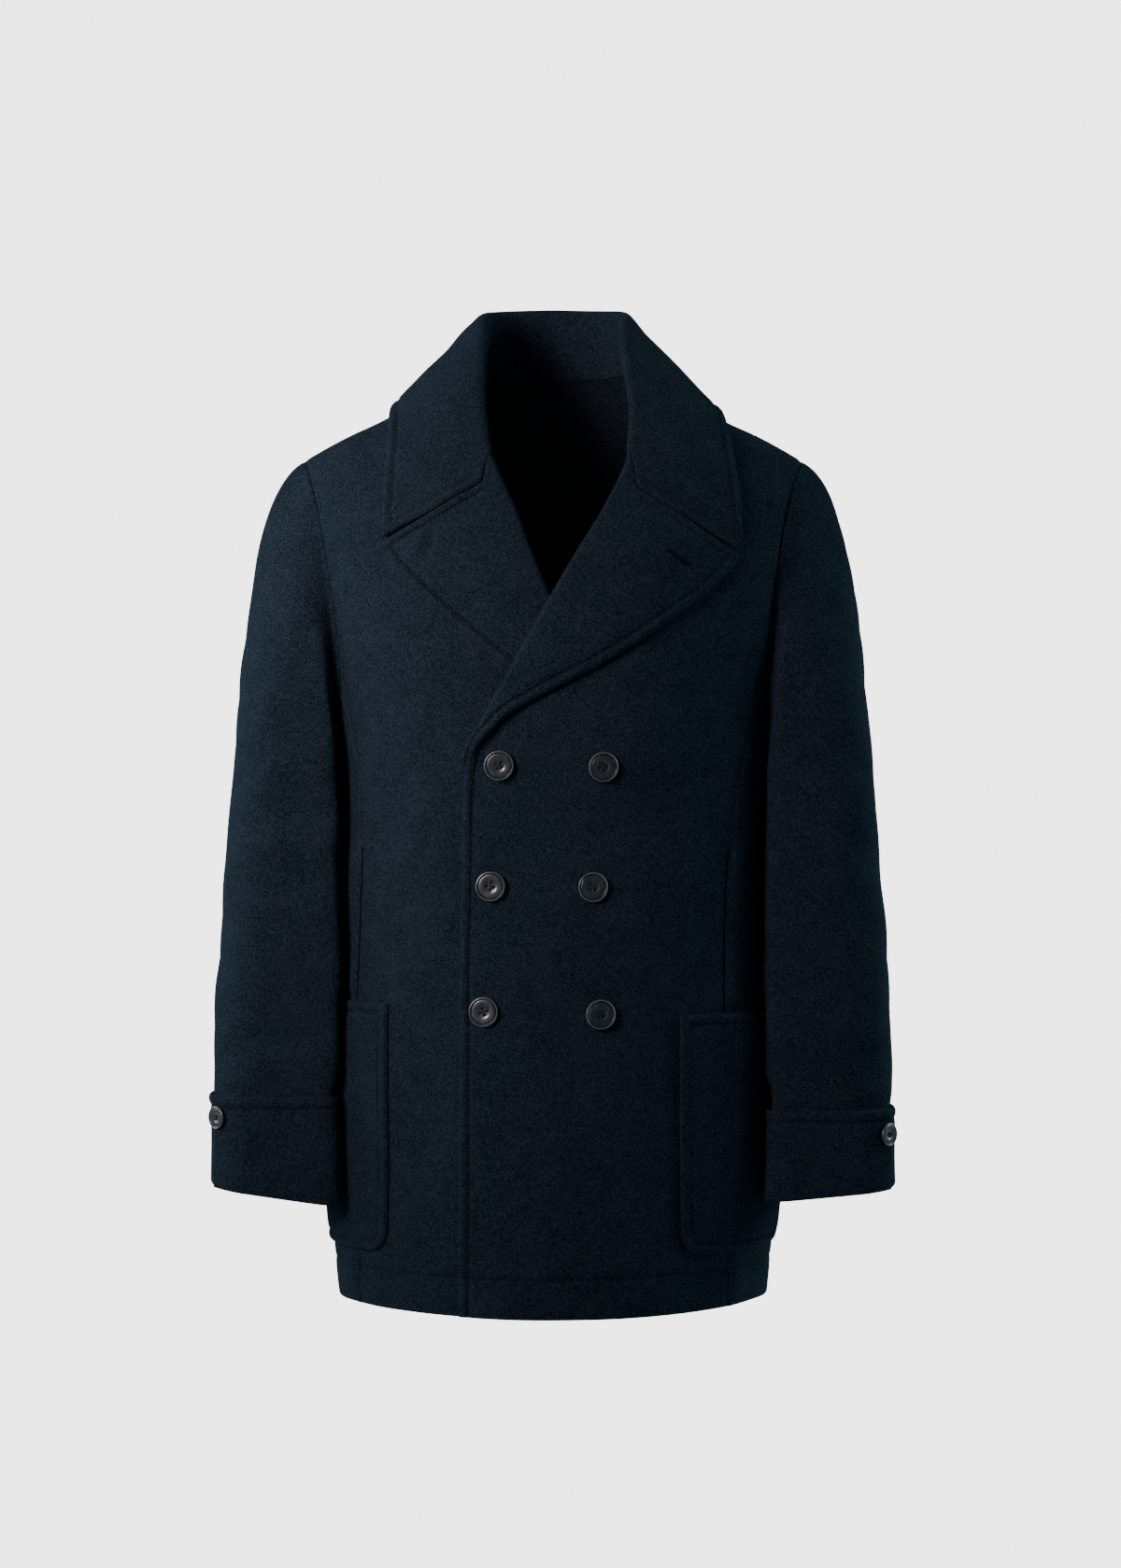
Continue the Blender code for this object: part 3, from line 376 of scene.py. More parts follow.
def lap_lift(half: Half, x: Grid, z: Grid) -> Grid:
    """How far the left front stands off the torso's surface, over what it laps."""
    if not half.laps_over:
        return np.zeros(np.broadcast(x, z).shape)
    under_front = LAP_LIFT + LAP_LAPEL_LIFT * ease(*LAP_LAPEL_FOOT, z)
    return under_front * (1 - ease(*LAP_TOP, z)) * (1 - ease(*LAP_FADE, x))


def front_surface(half: Half, x: Grid, z: Grid) -> Grid:
    """Points on a front's outer face."""
    y = -torso_depth(x, z, Face.FRONT) - lap_lift(half, x, z)
    return np.stack(np.broadcast_arrays(x, y, z), axis=-1)


def torso_level(points: Grid) -> Grid:
    """1 on the torso's surface, more outside it and less inside."""
    x, y, z = np.moveaxis(points, -1, 0)
    width, depth = TORSO.at("half_width", z), side_depth(y, z)
    across = np.abs(x) / width
    square = TORSO.at("squareness", z)
    section = (1 - np.clip(across, 0.0, 0.99) ** square) ** (1 / square)
    climb = (z - ARMHOLE_CORNER) / (SHOULDER.at("height", np.abs(x)) - ARMHOLE_CORNER)
    power = SHOULDER_ROUNDING
    yoke = ((np.abs(y) / (depth * section)) ** power + np.maximum(climb, 0.0) ** power) ** (1 / power)
    tube = (across**square + (np.abs(y) / depth) ** square) ** (1 / square)
    return np.where(z < ARMHOLE_CORNER, tube, yoke)


def torso_slope(points: Grid) -> Grid:
    """Gradient of the torso's level, which points straight out of its surface."""
    steps = SLOPE_STEP * np.eye(3)
    slope = [torso_level(points + step) - torso_level(points - step) for step in steps]
    return np.stack(slope, axis=-1) / (2 * SLOPE_STEP)


def lap_shift(half: Half, points: Grid) -> Grid:
    """Vectors that take points on the lapped front back to the torso's surface."""
    shift = np.zeros_like(points)
    lift = lap_lift(half, points[..., 0], points[..., 2])
    shift[..., 1] = np.where(points[..., 1] < 0, lift, 0.0)
    return shift


def rested(half: Half, points: Grid, off: Grid, only_out: bool = False) -> Grid:
    """Points moved square to the torso's surface, or to the lapped front, until off it by so much.

    Args:
        half: the coat's half.
        points: the points.
        off: distances from the surface.
        only_out: move only the points that are nearer than off.

    Returns:
        The moved points.
    """
    shift = lap_shift(half, points)
    points = points + shift
    for _ in range(4):
        slope = torso_slope(points)
        steep = np.linalg.norm(slope, axis=-1)
        move = off - (torso_level(points) - 1) / steep
        if only_out:
            move = np.maximum(move, 0.0)
        points = points + slope * (move / steep)[..., None]
    return points - shift


def torso_normals(half: Half, points: Grid) -> Grid:
    """Outward normals of the torso at points on it or on the lapped front."""
    return unit(torso_slope(points + lap_shift(half, points)))


def yoke_share(step: Grid) -> Grid:
    """Share of the way up from the armhole's corner to the shoulder."""
    return np.sin(np.clip(step / YOKE_STEPS, 0, 1) * math.pi / 2) ** (2 / SHOULDER_ROUNDING)


def front_points(half: Half, rows: Grid, across: Grid) -> Grid:
    """Points of a front.

    Args:
        half: the coat's half.
        rows: 0 at the hem, 1 at the armhole's corner, 2 at the shoulder.
        across: 0 at the free edge, 1 at the side seam and armhole.

    Returns:
        A grid of points, rows by across.
    """
    rows, across = np.reshape(rows, (-1, 1)), np.reshape(across, (1, -1))
    step = np.clip(rows - 1, 0, 1) * YOKE_STEPS
    upper = rows > 1
    edge_z = np.where(upper, YOKE_EDGE.at("height", step), lerp(HEM, ARMHOLE_CORNER, rows))
    share = yoke_share(step)
    edge_share = (edge_z - ARMHOLE_CORNER) / (NECK_TOP - ARMHOLE_CORNER)
    top = SHOULDER.at("height", lerp(NECK_HALF_WIDTH, SHOULDER_END, across))
    z = np.where(upper, lerp(ARMHOLE_CORNER, top, lerp(edge_share, share, across)), edge_z)
    arm_z = lerp(ARMHOLE_CORNER, SHOULDER.at("height", SHOULDER_END), share)
    x_end = np.where(upper, ARMHOLE.at("front", arm_z), half.side_front_seam.at("x", edge_z))
    x = lerp(half.front_edge.at("x", edge_z), x_end, across)
    return front_surface(half, x, z)


def side_points(half: Half, rows: Grid, across: Grid) -> Grid:
    """Points of a side panel: rows 0 at the hem to 1 at the armhole, across 0 in front to 1."""
    rows, turn = np.reshape(rows, (-1, 1)), np.reshape(across, (1, -1)) * math.pi
    seam_z = lerp(HEM, ARMHOLE_CORNER, rows)
    z = lerp(HEM, ARMHOLE_CORNER - ARMHOLE_DROP * np.sin(turn), rows)
    front = -torso_depth(half.side_front_seam.at("x", seam_z), seam_z, Face.FRONT)
    back = torso_depth(SIDE_BACK_SEAM.at("x", seam_z), seam_z, Face.BACK)
    y = lerp(front, back, (1 - np.cos(turn)) / 2)
    return np.stack((torso_width(y, z), y, z), axis=-1)


def back_points(rows: Grid, across: Grid) -> Grid:
    """Points of the back's own half.

    Args:
        rows: 0 at the hem, 1 at the armhole's corner, 2 at the neck and shoulder.
        across: 0 at the back's middle, 1 at the side seam and armhole.

    Returns:
        A grid of points, rows by across.
    """
    rows, across = np.reshape(rows, (-1, 1)), np.reshape(across, (1, -1))
    place = across * (BACK_NECK_STEPS + SHOULDER_STEPS)
    neck_x = NECK_HALF_WIDTH * np.sin(np.clip(place / BACK_NECK_STEPS, 0, 1) * math.pi / 2)
    shoulder_share = (place - BACK_NECK_STEPS) / SHOULDER_STEPS
    on_shoulder = place > BACK_NECK_STEPS
    top_x = np.where(on_shoulder, lerp(NECK_HALF_WIDTH, SHOULDER_END, shoulder_share), neck_x)
    neck_z = lerp(BACK_NECK, NECK_TOP, (neck_x / NECK_HALF_WIDTH) ** 2)
    top_z = np.where(on_shoulder, SHOULDER.at("height", top_x), neck_z)
    step = np.clip(rows - 1, 0, 1) * YOKE_STEPS
    upper = rows > 1
    share = yoke_share(step)
    z = np.where(upper, lerp(ARMHOLE_CORNER, top_z, share), lerp(HEM, ARMHOLE_CORNER, rows))
    seam = SIDE_BACK_SEAM.at("x", np.minimum(z, ARMHOLE_CORNER))
    x = np.where(upper, lerp(seam * across, top_x, share), seam * across)
    arm_z = lerp(ARMHOLE_CORNER, SHOULDER.at("height", SHOULDER_END), share)
    arm_x = lerp(SIDE_BACK_SEAM.at("x", ARMHOLE_CORNER), SHOULDER_END, share)
    x = x + np.where(upper, across * (ARMHOLE.at("back", arm_z) - arm_x), 0.0)
    return np.stack(np.broadcast_arrays(x, torso_depth(x, z, Face.BACK), z), axis=-1)


def grid_normals(points: Grid, closed: bool = False) -> Grid:
    """Normals at a grid's points, from the quads around each."""
    wrapped = np.concatenate((points, points[:, :1]), axis=1) if closed else points
    faces = np.cross(wrapped[1:, 1:] - wrapped[:-1, :-1], wrapped[1:, :-1] - wrapped[:-1, 1:])
    total = np.zeros_like(wrapped)
    for i in (0, 1):
        for j in (0, 1):
            total[i : i + faces.shape[0], j : j + faces.shape[1]] += faces
    if closed:
        total[:, 0] += total[:, -1]
        total = total[:, :-1]
    return unit(total)


def facing(normals: Grid, like: Grid) -> Grid:
    """Normals, turned over if they point away from the given ones."""
    return normals if np.sum(normals * like) >= 0 else -normals


class Seam:
    """Points on a seam with the body's normal there and the way out across it."""

    def __init__(self, points: Grid, normals: Grid, inside: Grid, closed: bool) -> None:
        """Work out the way across the seam, away from the points inside."""
        along = np.roll(points, -1, axis=0) - np.roll(points, 1, axis=0)
        if not closed:
            along = np.gradient(points, axis=0)
        self.points = points
        self.normals = unit(normals)
        out = unit(np.cross(along, self.normals))
        self.out = out * np.sign(np.sum(out * (points - inside), axis=-1, keepdims=True))

    def turned(self, radius: Grid, angle: Grid) -> tuple[Grid, Grid]:
        """Points and normals after turning from the body's own way towards its outer side."""
        radius, angle = np.reshape(radius, (-1, 1)), np.reshape(angle, (-1, 1))
        start = self.points + self.out * SEAM_GAP / 2
        points = start + radius * (np.sin(angle) * self.out + (1 - np.cos(angle)) * self.normals)
        return points, np.cos(angle) * self.normals - np.sin(angle) * self.out

    def heading(self, angle: Grid) -> Grid:
        """Direction of the cloth after such a turn."""
        angle = np.reshape(angle, (-1, 1))
        return np.cos(angle) * self.out + np.sin(angle) * self.normals


def spaced(length: float, cell: float, dense: Iterable[tuple[float, float, float]] = ()) -> Grid:
    """Shares of a length for grid lines, closer together where fine relief needs them.

    Args:
        length: the length in metres.
        cell: usual spacing.
        dense: (from, to, spacing) stretches.

    Returns:
        Rising shares from 0 to 1.
    """
    places = [0.0]
    while places[-1] < length:
        here, step = places[-1], cell
        for start, end, fine in dense:
            if start - 1e-9 <= here < end:
                step = fine
            elif here < start:
                step = min(step, max(start - here, fine))
        places.append(here + step)
    places = np.array(places)
    return places / places[-1]


NEAR_START = (0.0, 0.0125, 0.0013)  # stretch of fine grid lines along a stitched edge


def near_end(length: float) -> tuple[float, float, float]:
    """The same stretch at the other end of a length."""
    return length - NEAR_START[1], length, NEAR_START[2]


# ---------------------------------------------------------------- folds and soft unevenness


@dataclass(frozen=True)
class Fold:
    """One soft trough in the cloth along a line, with a low ridge beside it."""

    line: tuple[tuple[float, float], ...]  # (around, height)
    width: float
    depth: float  # below the cloth; negative stands proud
    ridge: float = 0.35

    def relief(self, around: Grid, height: Grid) -> Grid:
        """How far the fold moves the cloth outward at each place."""
        line = np.array(self.line)
        legs = np.diff(line, axis=0)
        lengths = np.hypot(*legs.T)
        nearest = np.full(np.shape(around), 9.0)
        side = np.zeros_like(nearest)
        place = np.zeros_like(nearest)
        run = 0.0
        for start, leg, length in zip(line, legs, lengths):
            dx, dz = around - start[0], height - start[1]
            t = np.clip((dx * leg[0] + dz * leg[1]) / length**2, 0.0, 1.0)
            distance = np.hypot(dx - t * leg[0], dz - t * leg[1])
            nearer = distance < nearest
            nearest = np.where(nearer, distance, nearest)
            side = np.where(nearer, np.sign(leg[0] * dz - leg[1] * dx), side)
            place = np.where(nearer, (run + t * length) / lengths.sum(), place)
            run += length
        taper = np.sin(math.pi * np.clip(place, 0.02, 0.98)) ** 0.8
        trough = bell(nearest, self.width)
        beside = bell(nearest * side - 1.7 * self.width, 0.9 * self.width)
        return self.depth * taper * (self.ridge * beside - trough)


@dataclass(frozen=True)
class Relief:
    """Folds and a slight unevenness over one part of the coat."""

    folds: tuple[Fold, ...] = ()
    waves: tuple[tuple[float, float, float, float], ...] = ()  # size, cycles round, up, phase

    def at(self, around: Grid, height: Grid) -> Grid:
        """How far the cloth is moved outward at each place."""
        total = np.zeros(np.broadcast(around, height).shape)
        for fold in self.folds:
            total = total + fold.relief(around, height)
        for size, cycles_around, cycles_up, phase in self.waves:
            turn = 2 * math.pi * (cycles_around * around + cycles_up * height) + phase
            total = total + size * np.sin(turn)
        return total


BODY_RELIEF = Relief(
    folds=(
        # soft drag lines from the closed buttons and under the arms, in front
        Fold(((-0.118, -0.318), (-0.150, -0.372), (-0.166, -0.438)), 0.019, 0.0030),
        Fold(((0.128, -0.300), (0.146, -0.352), (0.152, -0.425)), 0.018, 0.0026),
        Fold(((-0.016, -0.395), (0.040, -0.400), (0.102, -0.377)), 0.016, 0.0014),
        Fold(((-0.120, -0.560), (-0.112, -0.650), (-0.122, -0.735)), 0.024, 0.0026),
        Fold(((0.030, -0.590), (0.036, -0.670), (0.030, -0.752)), 0.026, 0.0022),
        Fold(((0.112, -0.425), (0.132, -0.480), (0.136, -0.530)), 0.016, 0.0018),
        Fold(((-0.150, -0.208), (-0.160, -0.250), (-0.164, -0.300)), 0.015, 0.0024),
        Fold(((0.170, -0.195), (0.176, -0.240), (0.180, -0.292)), 0.014, 0.0020),
        # the back: from the shoulder blades down, and across the small of the back
        Fold(((0.440, -0.215), (0.452, -0.300), (0.446, -0.380)), 0.022, 0.0034),
        Fold(((-0.446, -0.200), (-0.458, -0.290), (-0.448, -0.392)), 0.022, 0.0038),
        Fold(((0.520, -0.415), (0.560, -0.425), (0.596, -0.418)), 0.017, 0.0026),
        Fold(((-0.596, -0.432), (-0.548, -0.441), (-0.505, -0.430)), 0.018, 0.0028),
        Fold(((0.470, -0.470), (0.500, -0.560), (0.492, -0.680)), 0.026, 0.0030),
        Fold(((-0.480, -0.480), (-0.500, -0.590), (-0.492, -0.720)), 0.027, 0.0034),
        Fold(((0.575, -0.100), (0.560, -0.150), (0.566, -0.200)), 0.022, 0.0016),
    ),
    waves=(
        (0.0007, 5.2, 3.1, 0.4), (0.0006, -3.4, 6.3, 2.1), (0.0004, 9.1, -4.4, 1.2),
        (0.0003, 13.0, 9.0, 5.0),
    ),
)
SLEEVE_RELIEFS = {
    "right": Relief(
        folds=(
            Fold(((0.105, -0.300), (0.080, -0.330), (0.045, -0.345)), 0.013, 0.0026),
            Fold(((0.120, -0.372), (0.085, -0.392), (0.050, -0.396)), 0.012, 0.0022),
            Fold(((0.118, -0.432), (0.080, -0.440), (0.038, -0.431)), 0.013, 0.0020),
            Fold(((0.090, -0.500), (0.052, -0.512), (0.015, -0.504)), 0.013, 0.0014),
            Fold(((0.115, -0.560), (0.080, -0.575), (0.050, -0.572)), 0.012, 0.0016),
            Fold(((0.300, -0.372), (0.335, -0.386), (0.365, -0.380)), 0.014, 0.0030),
            Fold(((0.290, -0.430), (0.330, -0.440), (0.372, -0.428)), 0.014, 0.0034),
            Fold(((0.285, -0.500), (0.330, -0.492), (0.360, -0.500)), 0.014, 0.0026),
            Fold(((0.285, -0.175), (0.300, -0.240), (0.298, -0.300)), 0.017, 0.0030),
            Fold(((0.062, -0.150), (0.070, -0.210), (0.075, -0.265)), 0.016, 0.0018),
        ),
        waves=((0.0007, 6.0, 7.0, 0.2), (0.0005, -4.0, 11.0, 1.0), (0.0003, 9.0, -15.0, 2.0)),
    ),
    "left": Relief(
        folds=(
            Fold(((0.108, -0.310), (0.070, -0.338), (0.030, -0.348)), 0.014, 0.0022),
            Fold(((0.122, -0.388), (0.080, -0.404), (0.048, -0.400)), 0.013, 0.0022),
            Fold(((0.118, -0.455), (0.075, -0.462), (0.040, -0.450)), 0.012, 0.0018),
            Fold(((0.112, -0.530), (0.080, -0.541), (0.046, -0.538)), 0.013, 0.0016),
            Fold(((0.296, -0.360), (0.330, -0.378), (0.368, -0.370)), 0.014, 0.0030),
            Fold(((0.288, -0.418), (0.334, -0.425), (0.370, -0.415)), 0.013, 0.0034),
            Fold(((0.290, -0.478), (0.325, -0.486), (0.366, -0.476)), 0.014, 0.0024),
            Fold(((0.288, -0.182), (0.300, -0.248), (0.296, -0.318)), 0.017, 0.0030),
            Fold(((0.060, -0.140), (0.068, -0.200), (0.078, -0.255)), 0.016, 0.0020),
        ),
        waves=((0.0007, 6.0, 7.0, 3.2), (0.0005, -4.0, 11.0, 4.0), (0.0003, 9.0, -15.0, 0.5)),
    ),
}
COLLAR_WAVES = Relief(waves=((0.0007, 5.0, 8.0, 0.6), (0.0005, 9.0, -6.0, 1.9), (0.0003, 17.0, 11.0, 0.3)))


def around_body(sign: int, points: Grid) -> Grid:
    """Way round the body in metres, 0 at the front's middle and growing to the wearer's left."""
    x, y, z = np.moveaxis(points, -1, 0)
    return sign * AROUND_RADIUS * np.arctan2(x / TORSO.at("half_width", z), -y / side_depth(y, z))


def body_relief(half: Half, points: Grid) -> Grid:
    """Relief of the body's cloth, still near the lapels, the neck and the sleeves' heads."""
    height = points[..., 2]
    relief = BODY_RELIEF.at(around_body(half.sign, points), height)
    still = ease(-0.36, -0.30, height) * (points[..., 1] < 0) * (1 - ease(0.120, 0.170, points[..., 0]))
    near_neck = ease(-0.10, -0.04, height)
    return relief * (1 - still) * (1 - near_neck)


# ---------------------------------------------------------------- shaders


class Value:
    """A number that a node gives, so that shader maths reads as an expression."""

    def __init__(self, nodes: "Nodes", socket: bpy.types.NodeSocket) -> None:
        """Keep the socket and the tree that it is in."""
        self.nodes = nodes
        self.socket = socket

    def _math(self, operation: str, first: object, second: object = None) -> "Value":
        """Add one Math node."""
        values = {0: first} if second is None else {0: first, 1: second}
        return self.nodes.add("ShaderNodeMath", {"operation": operation}, values)

    def __add__(self, other: object) -> "Value":
        """Sum."""
        return self._math("ADD", self, other)

    __radd__ = __add__

    def __sub__(self, other: object) -> "Value":
        """Difference."""
        return self._math("SUBTRACT", self, other)

    def __rsub__(self, other: object) -> "Value":
        """Difference from a number."""
        return self._math("SUBTRACT", other, self)

    def __mul__(self, other: object) -> "Value":
        """Product."""
        return self._math("MULTIPLY", self, other)

    __rmul__ = __mul__

    def __truediv__(self, other: object) -> "Value":
        """Quotient."""
        return self._math("DIVIDE", self, other)

    def __abs__(self) -> "Value":
        """Size without sign."""
        return self._math("ABSOLUTE", self)

    def fraction(self) -> "Value":
        """What is left over whole numbers."""
        return self._math("FRACT", self)

    def ramp(self, low: float, high: float) -> "Value":
        """0 at low, 1 at high and a smooth step between; low may be above high."""
        return self.nodes.add(
            "ShaderNodeMapRange",
            {"interpolation_type": "SMOOTHSTEP", "clamp": True},
            {"Value": self, "From Min": low, "From Max": high},
        )


class Nodes:
    """A material's node tree."""

    def __init__(self, name: str) -> None:
        """Make the material and find its shader."""
        self.material = bpy.data.materials.new(name)
        self.material.use_nodes = True
        self.tree = self.material.node_tree
        self.shader = self.tree.nodes["Principled BSDF"]

    def _connect(self, socket: bpy.types.NodeSocket, value: object) -> None:
        """Link or set one input."""
        if isinstance(value, Value):
            self.tree.links.new(value.socket, socket)
        elif isinstance(value, bpy.types.NodeSocket):
            self.tree.links.new(value, socket)
        else:
            socket.default_value = value

    def add(self, kind: str, settings: dict, values: dict, output: object = 0) -> Value:
        """Add a node.

        Args:
            kind: the node's type.
            settings: its own settings, set first.
            values: numbers, colours or links for its sockets, by name or number.
            output: name or number of the socket that is used.

        Returns:
            The output, ready for shader maths.
        """
        node = self.tree.nodes.new(kind)
        for key, value in settings.items():
            setattr(node, key, value)
        for key, value in values.items():
            self._connect(node.inputs[key], value)
        return Value(self, node.outputs[output])

    def attribute(self, name: str) -> Value:
        """A number kept on the mesh."""
        return self.add("ShaderNodeAttribute", {"attribute_name": name}, {}, "Fac")

    def place(self) -> Value:
        """Position on the object, in metres."""
        return self.add("ShaderNodeTexCoord", {}, {}, "Object")

    def noise(self, scale: float, detail: float, roughness: float = 0.5, place: Value = None) -> Value:
        """Noise from 0 to 1 over the object."""
        settings = {"noise_dimensions": "3D"}
        values = {
            "Vector": place or self.place(), "Scale": scale, "Detail": detail, "Roughness": roughness,
        }
        return self.add("ShaderNodeTexNoise", settings, values, "Fac")

    def mix(self, share: Value, first: object, second: object) -> Value:
        """Colour between two others."""
        settings = {"data_type": "RGBA"}
        return self.add("ShaderNodeMix", settings, {0: share, 6: first, 7: second}, 2)

    def bump(self, height: Value, distance: float, strength: float) -> Value:
        """Normal from a height of 0 to 1 over a distance in metres."""
        values = {"Height": height, "Distance": distance, "Strength": strength}
        return self.add("ShaderNodeBump", {}, values)

    def dress(self, **sockets: object) -> bpy.types.Material:
        """Set the shader's sockets, named with underscores, and give the material."""
        named = {socket.name.lower(): socket for socket in self.shader.inputs}
        for name, value in sockets.items():
            self._connect(named[name.replace("_", " ")], value)
        return self.material


def colour(red: float, green: float, blue: float) -> tuple[float, float, float, float]:
    """A solid colour."""
    return (red, green, blue, 1.0)


@dataclass(frozen=True)
class Wool:
    """Thick felted wool with flecks, loose fibres and rows of topstitching, and painted shade in stitch
    grooves and seams.
    """

    name: str = "felted_wool"
    dark: tuple[float, float, float, float] = colour(0.0008, 0.0030, 0.0057)
    light: tuple[float, float, float, float] = colour(0.0094, 0.0170, 0.0254)
    stitch_length: float = 0.0040

    def material(self) -> bpy.types.Material:
        """Build the material."""
        nodes = Nodes(self.name)
        place = nodes.place()
        fleck = nodes.noise(640.0, 3.0, 0.65, place)
        fibre = nodes.noise(1500.0, 2.0, 0.6, place)
        cloud = nodes.noise(42.0, 4.0, 0.62, place)
        off = abs(nodes.attribute("stitch_off"))
        run = nodes.attribute("stitch_run") / self.stitch_length
        # painted shade: the colour darkens in the groove that each stitch row pulls; the same mask deepens
        # that groove in the bump
        groove = off.ramp(0.0016, 0.0001)
        thread = off.ramp(0.0007, 0.0003) * abs(run.fraction() - 0.5).ramp(0.46, 0.36)
        # painted shade: the colour darkens towards each seam, where the cloth sinks in; the same mask sinks
        # the bump there
        seam = nodes.attribute("seam_off").ramp(0.0022, 0.0)
        tone = fleck.ramp(0.38, 0.64) * 0.62 + fibre.ramp(0.36, 0.68) * 0.28 + cloud.ramp(0.35, 0.65) * 0.10
        shade = nodes.mix(tone - groove * 0.22 - seam * 0.25 + thread * 0.28, self.dark, self.light)
        height = fleck * 0.55 + fibre * 0.35 - groove * 1.5 + thread * 1.1 - seam * 0.8
        return nodes.dress(
            base_color=shade,
            roughness=0.88,
            specular_ior_level=0.0,
            sheen_weight=0.015,
            sheen_roughness=0.40,
            sheen_tint=colour(0.35, 0.75, 1.00),
            normal=nodes.bump(height, 0.0007, 0.85),
        )


@dataclass(frozen=True)
class Horn:
    """Polished grey-brown horn with soft streaks, painted shade in its holes and a painted highlight round
    its rim.
    """

    name: str = "polished_horn"

    def material(self) -> bpy.types.Material:
        """Build the material."""
        nodes = Nodes(self.name)
        place = nodes.place()
        settings = {"vector_type": "POINT"}
        stretched = nodes.add("ShaderNodeMapping", settings, {"Vector": place, "Scale": (1.0, 1.0, 0.3)})
        streak = nodes.noise(260.0, 4.0, 0.6, stretched)
        blot = nodes.noise(90.0, 2.0, 0.5, place)
        pale = nodes.mix(blot.ramp(0.35, 0.7), colour(0.010, 0.012, 0.015), colour(0.019, 0.020, 0.023))
        shade = nodes.mix(streak.ramp(0.40, 0.72), colour(0.005, 0.006, 0.008), pale)
        # painted shade: the holes are painted nearly black; the same mask roughens them and takes the coat
        # off
        painted_hole_shade = nodes.attribute("painted_hole_shade")
        # painted highlight: a pale blue-grey ring painted round the rim
        painted_rim_highlight = nodes.mix(nodes.attribute("painted_rim_highlight"), shade, colour(0.046, 0.066, 0.074))
        return nodes.dress(
            base_color=nodes.mix(painted_hole_shade, painted_rim_highlight, colour(0.0005, 0.0006, 0.0008)),
            roughness=0.26 + streak * 0.14 + painted_hole_shade * 0.5,
            specular_ior_level=0.40,
            specular_tint=colour(0.72, 1.0, 1.12),
            coat_weight=0.16 - painted_hole_shade * 0.16,
            coat_roughness=0.12,
            normal=nodes.bump(streak, 0.00008, 0.4),
        )


@dataclass(frozen=True)
class Thread:
    """Twisted sewing thread."""

    name: str = "navy_thread"
    tone: tuple[float, float, float, float] = colour(0.0007, 0.0026, 0.0048)

    def material(self) -> bpy.types.Material:
        """Build the material."""
        nodes = Nodes(self.name)
        twist = nodes.noise(2600.0, 1.0)
        lighter = tuple(part * 1.8 for part in self.tone[:3]) + (1.0,)
        shade = nodes.mix(twist, self.tone, lighter)
        normal = nodes.bump(twist, 0.0002, 0.6)
        return nodes.dress(base_color=shade, roughness=0.8, specular_ior_level=0.0, normal=normal)


@dataclass(frozen=True)
class Paper:
    """Pale studio paper that the camera sees evenly bright, and clear from behind."""

    name: str = "studio_paper"
    brightness: float = 3.9
    evenness: float = 0.85

    def material(self) -> bpy.types.Material:
        """Build the material."""
        nodes = Nodes(self.name)
        grain = nodes.noise(40.0, 2.0)
        shade = nodes.mix(grain, colour(0.80, 0.80, 0.80), colour(0.82, 0.82, 0.82))
        material = nodes.dress(base_color=shade, roughness=0.95)
        glow = nodes.add("ShaderNodeEmission", {}, {"Strength": self.brightness})
        seen = nodes.add("ShaderNodeLightPath", {}, {}, "Is Camera Ray")
        mixed = {0: seen * self.evenness, 1: nodes.shader.outputs[0], 2: glow}
        face = nodes.add("ShaderNodeMixShader", {}, mixed)
        behind = nodes.add("ShaderNodeNewGeometry", {}, {}, "Backfacing")
        clear = nodes.add("ShaderNodeBsdfTransparent", {}, {})
        sheet = nodes.add("ShaderNodeMixShader", {}, {0: behind, 1: face, 2: clear})
        nodes.tree.links.new(sheet.socket, nodes.tree.nodes["Material Output"].inputs["Surface"])
        return material


# ---------------------------------------------------------------- cloth meshes


class Edge(Enum):
    """The sides of a piece's grid, as index, next index inward, and whether it is a row."""

    FIRST_ROW = ((0, slice(None)), (1, slice(None)))
    LAST_ROW = ((-1, slice(None)), (-2, slice(None)))
    FIRST_COLUMN = ((slice(None), 0), (slice(None), 1))
    LAST_COLUMN = ((slice(None), -1), (slice(None), -2))


ALL_EDGES = tuple(Edge)
FAR = 1.0  # off any stitching or seam
ROW_WIDTH = 0.0022  # of the hollow that a row of stitches pulls
SEAM_WIDTH = 0.0026  # of the hollow along a seam
TURN_DROP = 0.33  # of the thickness, by which a folded edge rounds over
RIM_BULGE = 0.42  # of the thickness, by which a folded edge bulges out
THICK_ROUND = 0.0028  # width over which the thicker pieces round over


